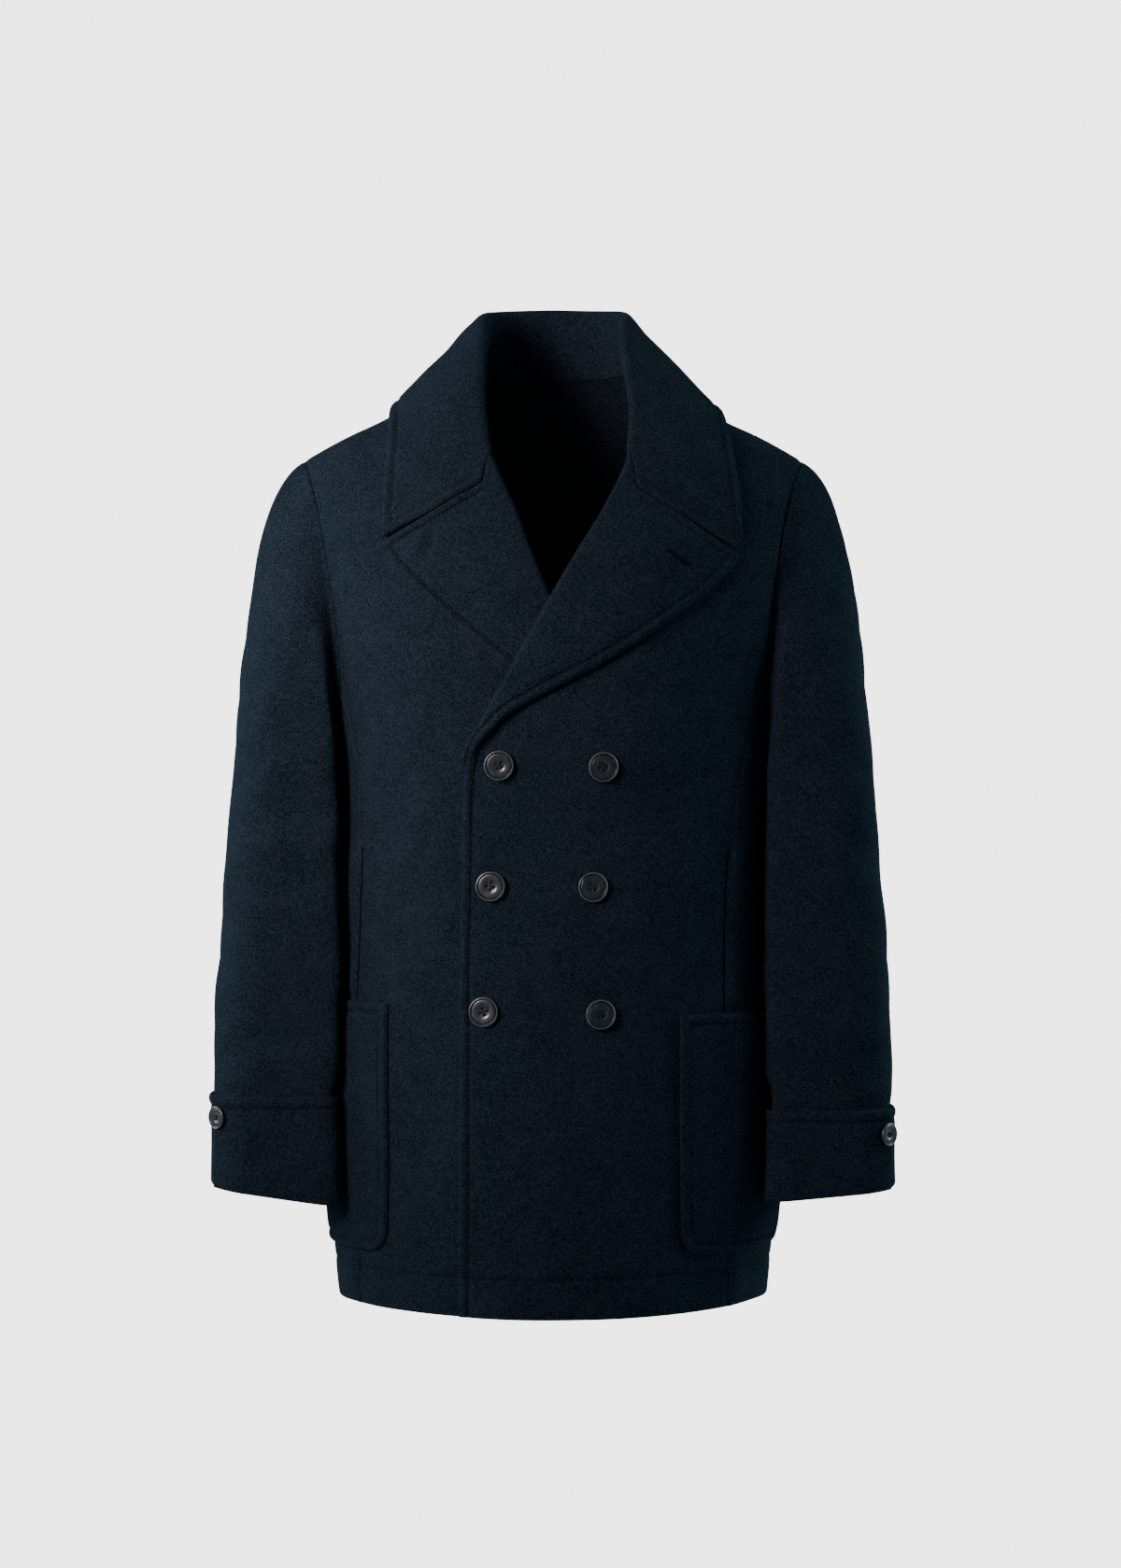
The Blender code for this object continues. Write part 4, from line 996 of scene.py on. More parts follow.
class Cloth:
    """A piece of cloth: a face grid, a back grid and what is sewn along its edges."""

    def __init__(self, name: str, face: Grid, back: Grid) -> None:
        """Keep the two grids."""
        self.name = name
        self.face = face.copy()
        self.back = back.copy()
        self.laid = face.copy()
        self.normals = facing(grid_normals(face), face - back)
        self.stitch_off = np.full(face.shape[:2], FAR)
        self.stitch_run = np.zeros(face.shape[:2])
        self.seam_off = np.full(face.shape[:2], FAR)
        self.turned: list[Edge] = []

    def reach(self, edge: Edge) -> tuple[Grid, Grid]:
        """Distance of each point from an edge, and the length along the edge to its nearest place."""
        line = self.laid[edge.value[0]]
        legs = np.diff(line, axis=0)
        square = np.maximum(np.sum(legs**2, axis=-1), 1e-16)
        run = np.concatenate(([0.0], np.cumsum(np.sqrt(square))))
        flat = self.laid.reshape(-1, 3)
        distance, place = np.empty(len(flat)), np.empty(len(flat))
        for start in range(0, len(flat), 4000):
            points = flat[start : start + 4000, None]
            t = np.clip(np.sum((points - line[:-1]) * legs, axis=-1) / square, 0.0, 1.0)
            gaps = np.linalg.norm(points - line[:-1] - t[..., None] * legs, axis=-1)
            best = np.argmin(gaps, axis=1)
            rows = np.arange(len(best))
            distance[start : start + 4000] = gaps[rows, best]
            place[start : start + 4000] = run[best] + t[rows, best] * np.sqrt(square[best])
        shape = self.face.shape[:2]
        return distance.reshape(shape), place.reshape(shape)

    def press(self, relief: Grid, through: bool = True) -> "Cloth":
        """Move the face outward by so much, and the back with it if the form goes through."""
        self.raise_face(relief)
        if through:
            self.back = self.back + self.normals * relief[..., None]
        return self

    def stitch(
        self, edges: tuple[Edge, ...], inset: float, swell: float = 0.0005, sink: float = 0.0008
    ) -> "Cloth":
        """Sew a row of topstitching inside some edges, with a swelled band between.

        Args:
            edges: the edges that the row follows.
            inset: distance from them.
            swell: how far the band outside the row stands proud.
            sink: how far the row pulls the cloth in.

        Returns:
            This piece.
        """
        reaches = [self.reach(edge) for edge in edges]
        distance = np.min([d for d, _ in reaches], axis=0)
        which = np.argmin([d for d, _ in reaches], axis=0)
        run = np.choose(which, [r for _, r in reaches])
        off = distance - inset
        self.mark_row(off, run)
        band = (distance < inset) * swelled(distance, inset)
        self.raise_face(band * swell - bell(off, ROW_WIDTH) * sink)
        return self

    def mark_row(self, off: Grid, run: Grid, where: Grid = True) -> None:
        """Note each point's distance off a row of stitches and its place along it, if nearest."""
        nearer = (np.abs(off) < np.abs(self.stitch_off)) & where
        self.stitch_off = np.where(nearer, off, self.stitch_off)
        self.stitch_run = np.where(nearer, run, self.stitch_run)

    def raise_face(self, rise: Grid) -> None:
        """Move only the face outward."""
        self.face = self.face + self.normals * rise[..., None]

    def swell_edge(self, nearest: Grid, inset: float) -> None:
        """Raise the band between an edge and its marked row, and sink the row."""
        self.raise_face(0.0006 * swelled(nearest, inset) - 0.0010 * bell(self.stitch_off, ROW_WIDTH))

    def join(self, edges: tuple[Edge, ...], sink: float = 0.0007) -> "Cloth":
        """Sink the cloth towards its seams."""
        for edge in edges:
            distance, _ = self.reach(edge)
            self.seam_off = np.minimum(self.seam_off, distance)
            self.raise_face(-sink * bell(distance, SEAM_WIDTH))
        return self

    def turn(self, edges: tuple[Edge, ...], round_over: float = 0.0022, lift: float = 0.8) -> "Cloth":
        """Round the cloth over at its folded edges; lift is 0 where they are sewn down flat."""
        thick = np.linalg.norm(self.face - self.back, axis=-1)
        distance = np.min([self.reach(edge)[0] for edge in edges], axis=0)
        drop = thick * TURN_DROP * np.clip(1 - distance / round_over, 0, 1) ** 2
        self.raise_face(-drop)
        self.back = self.back + self.normals * (lift * drop)[..., None]
        self.turned.extend(edges)
        return self

    def rim(self) -> tuple[Grid, Grid]:
        """Indices round the border, and how far its middle bulges at each."""
        rows, columns = self.face.shape[:2]
        index = np.arange(rows * columns).reshape(rows, columns)
        outward = np.zeros_like(self.face)
        thick = np.linalg.norm(self.face - self.back, axis=-1, keepdims=True)
        for edge in self.turned:
            border, inner = edge.value
            way = unit(self.face[border] - self.face[inner])
            outward[border] += way * thick[border] * RIM_BULGE
        loop = np.concatenate((index[0, :-1], index[:-1, -1], index[-1, :0:-1], index[:0:-1, 0]))
        return loop, outward

    def make(self, sign: int, material: bpy.types.Material) -> bpy.types.Object:
        """Build the closed mesh, dress it and put it in the scene.

        Args:
            sign: 1 for the wearer's left and pieces across the middle, -1 for the right.
            material: its finish.

        Returns:
            The object.
        """
        rows, columns = self.face.shape[:2]
        count = rows * columns
        every = np.arange(count)
        quads = quads_between(every.reshape(rows, columns))
        loop, outward = self.rim()
        middle = ((self.face + self.back) / 2 + outward).reshape(-1, 3)
        following = np.roll(loop, -1)
        near = 2 * count + np.arange(len(loop))
        far = np.roll(near, -1)
        rim_face = np.stack((following, loop, near, far), axis=-1)
        rim_back = np.stack((far, near, loop + count, following + count), axis=-1)
        points = (self.face.reshape(-1, 3), self.back.reshape(-1, 3), middle[loop])
        points = np.concatenate(points) * (sign, 1, 1)
        faces = np.concatenate((quads, quads[:, ::-1] + count, rim_face, rim_back))
        across = self.normals.reshape(-1, 3)[quads[0, 0]] * (sign, 1, 1)
        corners = points[quads[0]]
        if np.dot(np.cross(corners[2] - corners[0], corners[3] - corners[1]), across) < 0:
            faces = faces[:, ::-1]
        item = mesh_object(self.name, points, faces, material)
        source = np.concatenate((every, every, loop))
        on_face = np.arange(len(source)) < count
        for name, values in (("stitch_off", self.stitch_off), ("seam_off", self.seam_off)):
            keep_values(item.data, name, np.where(on_face, values.reshape(-1)[source], FAR))
        keep_values(item.data, "stitch_run", self.stitch_run.reshape(-1)[source])
        return item


def quads_between(index: Grid) -> Grid:
    """Quads between the neighbours in a grid of point numbers."""
    corners = (index[:-1, :-1], index[:-1, 1:], index[1:, 1:], index[1:, :-1])
    return np.stack(corners, axis=-1).reshape(-1, 4)


def keep_values(mesh: bpy.types.Mesh, name: str, values: Grid) -> None:
    """Keep a number for each point of a mesh, for the shaders."""
    layer = mesh.attributes.new(name, "FLOAT", "POINT")
    layer.data.foreach_set("value", values.astype(np.float32))


def mesh_object(
    name: str, points: Grid, faces: Iterable, material: bpy.types.Material
) -> bpy.types.Object:
    """Smooth-shaded mesh object in the scene."""
    mesh = bpy.data.meshes.new(name)
    mesh.from_pydata(points.tolist(), [], [list(face) for face in np.asarray(faces).tolist()])
    mesh.shade_smooth()
    mesh.set_sharp_from_angle(angle=math.radians(62))
    mesh.materials.append(material)
    item = bpy.data.objects.new(name, mesh)
    bpy.context.scene.collection.objects.link(item)
    return item


@dataclass(frozen=True)
class Cut:
    """The flat size that a piece was cut to."""

    width: float
    length: float
    area: float


def finish_cloth(item: bpy.types.Object, node: str) -> bpy.types.Object:
    """Tie a cloth piece to the frame and hide the solid that it stands for.

    Args:
        item: the piece.
        node: the solid that it stands for.

    Returns:
        The piece.
    """
    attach(item, "root")
    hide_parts(node)
    log.info("%s: %d faces", item.name, len(item.data.polygons))
    return item


# ---------------------------------------------------------------- the coat's pieces


@dataclass
class Body:
    """Fronts, side panels and back, with the seams that the other pieces are sewn to."""

    wool: bpy.types.Material
    cell: float = 0.0038
    lower_length: float = 0.511
    upper_length: float = 0.290
    front_width: float = 0.235
    side_width: float = 0.21
    back_width: float = 0.26
    edge_inset: float = 0.0082
    edge_swell: float = 0.0006
    edge_sink: float = 0.0009
    edge_top: tuple[float, float] = (-0.356, -0.340)
    foot_swell: float = 0.0008
    foot_reach: float = 0.040
    seam_inset: float = 0.0080
    seam_swell: float = 0.0012
    seam_sink: float = 0.0005
    seam_top: tuple[float, float] = (-0.285, -0.275)
    armhole_sink: float = 0.0008
    hem_inset: float = 0.0320
    hem_swell: float = 0.0003
    hem_sink: float = 0.0006
    foot_trough: Fold = Fold(
        ((-0.0400, -0.3130), (-0.0545, -0.3290), (-0.0590, -0.3450), (-0.0612, -0.3720)),
        0.0050, 0.0016, 0.0,
    )
    foot_height: float = -0.350
    cuts: dict[str, Cut] = field(
        default_factory=lambda: {
            "front_left": Cut(0.26, 0.885, 0.179),
            "front_right": Cut(0.266, 0.873, 0.183),
            "side_left": Cut(0.193, 0.52, 0.087),
            "side_right": Cut(0.166, 0.52, 0.075),
            "back": Cut(0.54, 0.85, 0.310),
        }
    )

    def rows(self) -> Grid:
        """Row places from hem to shoulder."""
        fine_hem = ((0.0, 0.004, 0.0010), (0.027, 0.037, 0.0016))
        lower = spaced(self.lower_length, self.cell, fine_hem)
        upper = spaced(self.upper_length, self.cell * 0.9, ((0.270, self.upper_length, 0.0016),))
        return np.concatenate((lower, 1 + upper[1:]))

    def front(self, half: Half) -> Cloth:
        """A front, its free edge and hem turned and stitched, its side seam swelled."""
        near_seam = (0.222, self.front_width, 0.0013)
        across = spaced(self.front_width, self.cell, (NEAR_START, near_seam))
        rows = self.rows()
        face = front_points(half, rows, across)
        normals = torso_normals(half, face)
        piece = Cloth(f"wool_front_{half.name}", face, face - normals * CLOTH)
        piece.normals = normals
        piece.press(body_relief(half, face))
        height = face[..., 2]
        below = 1 - ease(*self.edge_top, height)
        edge_distance, run = piece.reach(Edge.FIRST_COLUMN)
        off = edge_distance - self.edge_inset
        near_foot = self.foot_swell * bell(height - self.foot_height, self.foot_reach)
        band = (self.edge_swell + near_foot) * swelled(edge_distance, self.edge_inset)
        swell = (band - self.edge_sink * bell(off, ROW_WIDTH)) * below
        piece.raise_face(swell + self.foot_trough.relief(face[..., 0], height))
        piece.stitch_off = np.where(below > 0.5, off, FAR)
        piece.stitch_run = run
        self.hem(piece)
        seam_distance, run = piece.reach(Edge.LAST_COLUMN)
        low = 1 - ease(*self.seam_top, height)
        off = seam_distance - self.seam_inset
        piece.mark_row(off, run, low > 0.5)
        band = np.clip(1 - seam_distance / self.seam_inset, 0, 1) ** 0.5
        piece.raise_face((self.seam_swell * band - self.seam_sink * bell(off, 0.0020)) * low)
        piece.raise_face(-self.armhole_sink * bell(seam_distance, SEAM_WIDTH) * (1 - low))
        piece.seam_off = seam_distance
        piece.join((Edge.LAST_ROW,))
        piece.turn((Edge.FIRST_ROW, Edge.FIRST_COLUMN))
        return piece

    def hem(self, piece: Cloth) -> None:
        """Sew the deep turning along a panel's hem."""
        piece.stitch((Edge.FIRST_ROW,), self.hem_inset, self.hem_swell, self.hem_sink)

    def side(self, half: Half) -> Cloth:
        """A side panel, sunk under the front's swelled seam."""
        near_seams = ((0.0, 0.006, 0.0015), (0.204, self.side_width, 0.0015))
        across = spaced(self.side_width, self.cell, near_seams)
        rows = self.rows()
        rows = rows[rows <= 1 + 1e-9]
        face = side_points(half, rows, across)
        normals = torso_normals(half, face)
        piece = Cloth(f"wool_side_{half.name}", face, face - normals * CLOTH)
        piece.normals = normals
        piece.press(body_relief(half, face))
        self.hem(piece)
        piece.join((Edge.FIRST_COLUMN, Edge.LAST_COLUMN, Edge.LAST_ROW))
        return piece.turn((Edge.FIRST_ROW,))

    def back(self) -> Cloth:
        """The back, in one piece from side seam to side seam."""
        across = spaced(self.back_width, self.cell, ((0.254, self.back_width, 0.0015),))
        rows = self.rows()
        halves = []
        for half in (RIGHT, LEFT):
            face = back_points(rows, across)
            normals = torso_normals(half, face)
            relief = body_relief(half, face)
            flip = (half.sign, 1, 1)
            halves.append((face * flip, normals * flip, relief))
        joined = [np.concatenate((r[:, ::-1], l[:, 1:]), axis=1) for r, l in zip(*halves)]
        face, normals, relief = joined
        piece = Cloth("wool_back", face, face - normals * CLOTH)
        piece.normals = normals
        piece.press(relief)
        self.hem(piece)
        piece.join((Edge.FIRST_COLUMN, Edge.LAST_COLUMN, Edge.LAST_ROW))
        return piece.turn((Edge.FIRST_ROW,))

    def build(self) -> None:
        """Make and tie every panel."""
        for half in (LEFT, RIGHT):
            for kind, piece in (("front", self.front(half)), ("side", self.side(half))):
                node = f"{kind}_{half.name}"
                finish_cloth(piece.make(half.sign, self.wool), node)
        finish_cloth(self.back().make(1, self.wool), "back")


def armhole_seam(half: Half, cell: float) -> Seam:
    """The armhole, down the front, under the arm and up the back."""
    steps = spaced(0.215, cell)
    front = front_points(half, 2 - steps, (0.96, 1.0))
    under = side_points(half, (0.96, 1.0), spaced(0.125, cell)[1:-1])
    back = back_points(1 + steps, (0.96, 1.0))[:-1]
    points = np.concatenate((front[:, 1], under[1], back[:, 1]))
    inside = np.concatenate((front[:, 0], under[0], back[:, 0]))
    return Seam(points, torso_normals(half, points), inside, closed=True)


@dataclass
class Sleeves:
    """Sleeves with their turned-back, lapped cuffs."""

    wool: bpy.types.Material
    cell: float = 0.0040
    rings_from: float = -0.340
    level_to: float = -0.640
    end: float = -0.698
    seam_rings: int = 6
    head_rings: int = 46
    arm_rings: int = 76
    cuff_rings: int = 14
    inside_cuff: float = 0.004
    seam_length: float = 0.006
    head_pull: float = 0.6
    arm_pull: float = 0.95
    highest_relief: float = 0.0014
    turn_top: float = math.radians(-4)
    turn_underarm: float = math.radians(165)
    outer_power: float = 0.85
    inner_power: float = 0.22
    cuff_end_angle: float = math.radians(37)
    cuff_lap: float = math.radians(32)
    cuff_gap: float = 0.0013
    cuff_middle: float = -0.66
    cuff_width: float = 0.075
    cuff_inset: float = 0.0090
    angle_radius: float = 0.062
    seam_turns: tuple[float, float] = (math.radians(129.1), math.radians(251.9))
    sleeve_cuts: dict[str, Cut] = field(
        default_factory=lambda: {"top": Cut(0.396, 0.628, 0.153), "under": Cut(0.188, 0.494, 0.047)}
    )
    cuff_cuts: dict[str, Cut] = field(
        default_factory=lambda: {"left": Cut(0.40, 0.076, 0.028), "right": Cut(0.41, 0.090, 0.033)}
    )

    def ring(self, z: Grid, angles: Grid, spread: Grid = 0.0) -> Grid:
        """Points round a sleeve: angle 0 is outermost and a quarter turn is the front.

        Args:
            z: heights.
            angles: angles round the sleeve.
            spread: distance out from the sleeve's own surface.

        Returns:
            The points, in the shape of angles.
        """
        z = np.broadcast_to(z, angles.shape)
        cosine, sine = np.cos(angles), np.sin(angles)
        reach = (SLEEVE.at("half_depth", z) + spread) * np.abs(sine) ** self.outer_power
        y = SLEEVE.at("middle_y", z) - reach * np.sign(sine)
        gap = SLEEVE_CLEARANCE.at("gap", z)
        middle = (SLEEVE.at("outer", z) + TORSO.at("half_width", z) + gap) / 2
        inner = torso_width(y, z) + gap - spread
        away = SLEEVE.at("outer", z) + spread - middle
        outside = middle + away * np.abs(cosine) ** self.outer_power
        beside = middle - (middle - inner) * np.abs(cosine) ** self.inner_power
        return np.stack((np.where(cosine > 0, outside, beside), y, z), axis=-1)

    def cuff_foot(self, half: Half, x: Grid) -> Grid:
        """Height of the cuff's lower edge, which drops towards the body."""
        inner, outer = TORSO.at("half_width", self.end), SLEEVE.at("outer", self.end)
        share = np.clip((x - inner) / (outer - inner), 0.0, 1.0)
        return lerp(half.cuff_foot_inner, half.cuff_foot_outer, share)

    def angles(self, armhole: Seam) -> Grid:
        """Angle of each armhole point about the armhole's middle."""
        y, z = armhole.points[:, 1], armhole.points[:, 2]
        middle_y, middle_z = (y.max() + y.min()) / 2, (z.max() + z.min()) / 2
        angles = np.arctan2(-(y - middle_y) / np.ptp(y), (z - middle_z) / np.ptp(z))
        return angles % (2 * math.pi)

    def sleeve(self, half: Half) -> dict[str, Cloth]:
        """Top and under sleeve, from the armhole over the sleeve head and down to inside the cuff."""
        armhole = armhole_seam(half, self.cell)
        angles = self.angles(armhole)
        turn = lerp(self.turn_top, self.turn_underarm, (1 - np.cos(angles)) / 2)
        turn = np.where(np.abs(turn) < 1e-6, 1e-6, turn)
        shares = np.linspace(0, 1, self.seam_rings)
        rings = [armhole.turned(self.seam_length / turn, turn * s)[0] for s in shares]
        start, heading = rings[-1], armhole.heading(turn)
        end = self.ring(self.rings_from, angles)
        below = self.ring(self.rings_from - 0.02, angles)
        reach = np.linalg.norm(end - start, axis=-1, keepdims=True)
        down = unit(below - end) * reach * self.arm_pull
        heading = heading * reach * self.head_pull
        for t in np.linspace(0, 1, self.head_rings)[1:-1]:
            ring = (1 + 2 * t) * (1 - t) ** 2 * start + t * (1 - t) ** 2 * heading
            ring = ring + t * t * (3 - 2 * t) * end - t * t * (1 - t) * down
            clear = torso_width(ring[:, 1], ring[:, 2]) + SLEEVE_CLEARANCE.at("gap", ring[:, 2])
            beside_body = (ring[:, 2] < ARMHOLE_CORNER) & (np.cos(angles) < 0)
            ring[:, 0] = np.where(beside_body, np.maximum(ring[:, 0], clear), ring[:, 0])
            rings.append(ring)
        for z in np.linspace(self.rings_from, self.level_to, self.arm_rings):
            rings.append(self.ring(z, angles))
        foot = self.cuff_foot(half, rings[-1][:, 0]) + self.inside_cuff
        for share in np.linspace(0, 1, self.cuff_rings)[1:]:
            rings.append(self.ring(lerp(self.level_to, foot, share), angles))
        face = np.array(rings)
        out = grid_normals(face, closed=True)
        out = facing(out, face - face.mean(axis=1, keepdims=True))
        around = np.broadcast_to(angles * self.angle_radius, face.shape[:2])
        height = face[..., 2]
        relief = SLEEVE_RELIEFS[half.name].at(around, height)
        along = np.linspace(0, 1, len(face))[:, None]
        above_cuff = 1 - (1 - ease(-0.620, -0.585, height)) * (height < 0)
        beside = 1 - 0.85 * ease(0.35, 0.8, -np.cos(angles))[None]
        relief = relief * ease(0.02, 0.16, along) * above_cuff * beside
        relief = np.minimum(relief, self.highest_relief)
        front, behind = [int(np.argmin(np.abs(angles - seam))) for seam in self.seam_turns]
        parts = {"top": np.r_[behind : len(angles), : front + 1], "under": np.arange(front, behind + 1)}
        pieces = {}
        for name, part in parts.items():
            piece = Cloth(f"wool_{name}_sleeve_{half.name}", face[:, part], (face - out * CLOTH)[:, part])
            piece.normals = out[:, part]
            piece.press(relief[:, part])
            piece.join((Edge.FIRST_ROW, Edge.FIRST_COLUMN, Edge.LAST_COLUMN), sink=0.0006)
            pieces[name] = piece.turn((Edge.LAST_ROW,))
        return pieces

    def cuff(self, half: Half) -> Cloth:
        """A turned-back cuff: a band round the sleeve's end, one end lapped over the other."""
        around = spaced(2 * math.pi + self.cuff_lap, 0.055, ((0.0, 0.20, 0.022), (6.6, 6.9, 0.03)))
        around = around * (2 * math.pi + self.cuff_lap)
        angles = self.cuff_end_angle + around
        lapped = 1 - ease(self.cuff_lap, self.cuff_lap + math.radians(35), around)
        spread = self.cuff_gap + lapped * (CUFF_CLOTH + REST_GAP)
        middle = self.ring(self.cuff_middle, angles, spread)
        foot = self.cuff_foot(half, middle[:, 0])
        near_foot = (0.071, self.cuff_width, 0.001)
        shares = spaced(self.cuff_width, 0.003, (NEAR_START, near_foot))
        rows = [self.ring(lerp(half.cuff_top, foot, share), angles, spread) for share in shares]
        back = np.array(rows)
        out = facing(grid_normals(back), back - back.mean(axis=1, keepdims=True))
        piece = Cloth(f"wool_cuff_{half.name}", back + out * CUFF_CLOTH, back)
        waves = SLEEVE_RELIEFS[half.name].waves
        place = np.broadcast_to(angles * self.angle_radius, back.shape[:2])
        piece.press(0.35 * Relief(waves=waves).at(place, back[..., 2]), through=False)
        piece.stitch((Edge.FIRST_ROW,), self.cuff_inset, swell=0.0004)
        return piece.turn(ALL_EDGES, THICK_ROUND)

    def build(self) -> None:
        """Make and tie both sleeves and cuffs."""
        for half in (LEFT, RIGHT):
            for name, piece in self.sleeve(half).items():
                item = piece.make(half.sign, self.wool)
                finish_cloth(item, f"{name}_sleeve_{half.name}")
            cuff = self.cuff(half).make(half.sign, self.wool)
            finish_cloth(cuff, f"cuff_{half.name}")


@dataclass
class Revers:
    """The peaked lapels and the collar, which meet at the gorge."""

    wool: bpy.types.Material
    roll_radius: float = 0.0014
    roll_turn: float = math.radians(172)
    lapel_rest: float = 0.0020
    collar_radius: float = 0.0022
    collar_turn: float = 165.0
    collar_rest: float = 0.0032
    shortest_stand: float = 0.0010
    collar_bulge: float = 0.02
    parting: float = 0.0020
    gorge_gap: float = 0.0004
    stitch_inset: float = 0.0080
    lapel_length: float = 0.30
    lapel_width: float = 0.105
    lapel_belly: float = 0.0022
    lapel_rows: int = 6
    collar_half_length: float = 0.30
    collar_fall: float = 0.100
    collar_belly: float = 0.0006
    stem_columns: int = 7
    turn_columns: int = 10
    foot_thin: float = 0.12
    pucker: Fold = Fold(((0.0968, -0.1466), (0.1020, -0.1590), (0.1085, -0.1715)), 0.0042, 0.0030, 0.6)
    stations: int = 8
    lapel_cuts: dict[str, Cut] = field(
        default_factory=lambda: {"left": Cut(0.153, 0.29, 0.022), "right": Cut(0.142, 0.28, 0.021)}
    )
    collar_cut: Cut = Cut(0.182, 0.72, 0.088)
    faces: dict[str, Grid] = field(default_factory=dict)

    def roll_shares(self) -> Grid:
        """Places round a lapel's roll, and round the collar's end."""
        return np.linspace(0, 1, 17)

    def fall_shares(self, length: float) -> Grid:
        """Places from the roll to the outer edge, close together near both stitch and edge."""
        return spaced(length, 0.0034, (near_end(length),))[1:]

    def roll_seam(self, half: Half, rows: Grid) -> Seam:
        """The roll line, by rows down from the lapel's top."""
        step = np.clip(4 - rows, 0, 4)
        height = ROLL_EDGE.at("height", rows) - half.foot_drop * ease(4.6, 6.0, rows)
        low = (height - HEM) / (ARMHOLE_CORNER - HEM)
        place = np.where(rows <= 4, 1 + step / YOKE_STEPS, low)
        points = front_points(half, place, (0.0, 0.03))
        return Seam(points[:, 0], torso_normals(half, points[:, 0]), points[:, 1], closed=False)

    def rolled(self, roll: Seam, radius: Grid, count: int) -> list[tuple[Grid, Grid]]:
        """Points and normals round the roll, at each of its places, for so many rows."""
        return [roll.turned(radius, np.full(count, self.roll_turn * s)) for s in self.roll_shares()]

    def foot_share(self, rows: Grid) -> Grid:
        """Share of its full thickness that a lapel keeps as it runs out at its foot."""
        return lerp(self.foot_thin, 1.0, ease(6.0, 5.2, rows))

    def lapel_under(self, half: Half, rows: Grid, falls: Grid) -> tuple[Grid, Grid]:
        """Under face of a lapel, rolled at the front's edge and laid back on it, and its normals."""
        roll = self.roll_seam(half, rows)
        radius = self.roll_radius * self.foot_share(rows)
        turned = self.rolled(roll, radius, len(rows))
        rings = [points for points, _ in turned]
        start = rings[-1]
        edge_x, edge_z = half.lapel_edge.at("x", rows), half.lapel_edge.at("height", rows)
        first = self.roll_seam(half, np.array([0.0, 0.5]))
        first_start = first.turned(self.roll_radius, np.full(2, self.roll_turn))[0][0]
        blend = np.clip(1 - rows, 0, 1)
        for share in falls:
            x = lerp(start[:, 0], edge_x, share)
            z = lerp(start[:, 2], edge_z, share)
            first_x = lerp(first_start[0], half.lapel_edge.at("x", 0.0), share)
            first_z = lerp(first_start[2], half.lapel_edge.at("height", 0.0), share)
            x = x + blend * (half.notch.at("x", share) - first_x)
            z = z + blend * (half.notch.at("height", share) - first_z)
            off = lerp(2 * self.roll_radius, self.lapel_rest, share) * self.foot_share(rows)
            rings.append(rested(half, front_surface(half, x, z), off))
        under = np.array(rings).transpose(1, 0, 2)
        normals = grid_normals(under)
        count = len(turned)
        rolled = np.array([n for _, n in turned]).transpose(1, 0, 2)
        normals = facing(normals, np.pad(rolled, ((0, 0), (0, len(falls)), (0, 0))))
        normals[:, :count] = rolled
        return under, normals

    def lapel(self, half: Half) -> Cloth:
        """A lapel with its swelled, stitched edge."""
        rows = spaced(self.lapel_length, 0.0036, (NEAR_START,)) * self.lapel_rows
        falls = self.fall_shares(self.lapel_width)
        under, normals = self.lapel_under(half, rows, falls)
        face = under - normals * LAPEL_CLOTH * self.foot_share(rows)[:, None, None]
        for grid in (face, under):
            grid[0] += unit(grid[1] - grid[0]) * self.gorge_gap
        piece = Cloth(f"wool_lapel_{half.name}", face, under)
        piece.normals = -normals
        rolled = len(self.roll_shares())
        place = np.arange(face.shape[1])[None] >= rolled
        shares = np.concatenate((np.zeros(rolled), falls))[None]
        lengthwise = np.sin(np.clip(rows / self.lapel_rows, 0, 1) * math.pi)[:, None] ** 0.6
        belly = self.lapel_belly * np.sin(shares * math.pi) * lengthwise
        still = ease(0.0, 0.25, shares) * ease(1.0, 0.8, shares)
        waves = COLLAR_WAVES.at(face[..., 0] * half.sign, face[..., 2]) * 0.6
        dimple = self.pucker.relief(face[..., 0], face[..., 2]) if half is RIGHT else 0.0
        piece.press((belly + waves * still + dimple) * place)
        top = ease(0.20, 0.30, shares)
        distance, run = piece.reach(Edge.FIRST_ROW)
        edge_distance, edge_run = piece.reach(Edge.LAST_COLUMN)
        nearest = np.minimum(distance + 0.03 * (1 - top), edge_distance)
        piece.stitch_run = np.where(distance < edge_distance, run, edge_run)
        piece.stitch_off = nearest - self.stitch_inset
        piece.swell_edge(nearest, self.stitch_inset)
        self.faces[half.name] = piece.face[:, rolled:]
        return piece.turn((Edge.LAST_COLUMN, Edge.FIRST_ROW), THICK_ROUND)

    def laid_on(self, half: Half, places: Grid) -> Grid:
        """Points of a finished lapel's face at some (x, height), in own-side X."""
        face = self.faces[half.name].reshape(-1, 3)
        gaps = np.linalg.norm(face[None, :, (0, 2)] - places[:, None], axis=-1)
        nearest = np.argsort(gaps, axis=1)[:, :4]
        weights = 1 / (np.take_along_axis(gaps, nearest, axis=1) + 1e-5)
        y = np.sum(face[nearest, 1] * weights, axis=1) / np.sum(weights, axis=1)
        return np.stack((places[:, 0], y, places[:, 1]), axis=-1)

    def neckline(self, half: Half, stations: Grid) -> Seam:
        """The neck seam, by stations from the middle of the back to the lapel's top."""
        behind = stations <= BACK_NECK_STEPS
        back = back_points((1.97, 2.0), stations[behind] / (BACK_NECK_STEPS + SHOULDER_STEPS))
        step = YOKE_STEPS + BACK_NECK_STEPS - stations[~behind]
        front = front_points(half, 1 + step / YOKE_STEPS, (0.0, 0.03))
        points = np.concatenate((back[1], front[:, 0]))
        inside = np.concatenate((back[0], front[:, 1]))
        return Seam(points, torso_normals(half, points), inside, closed=False)

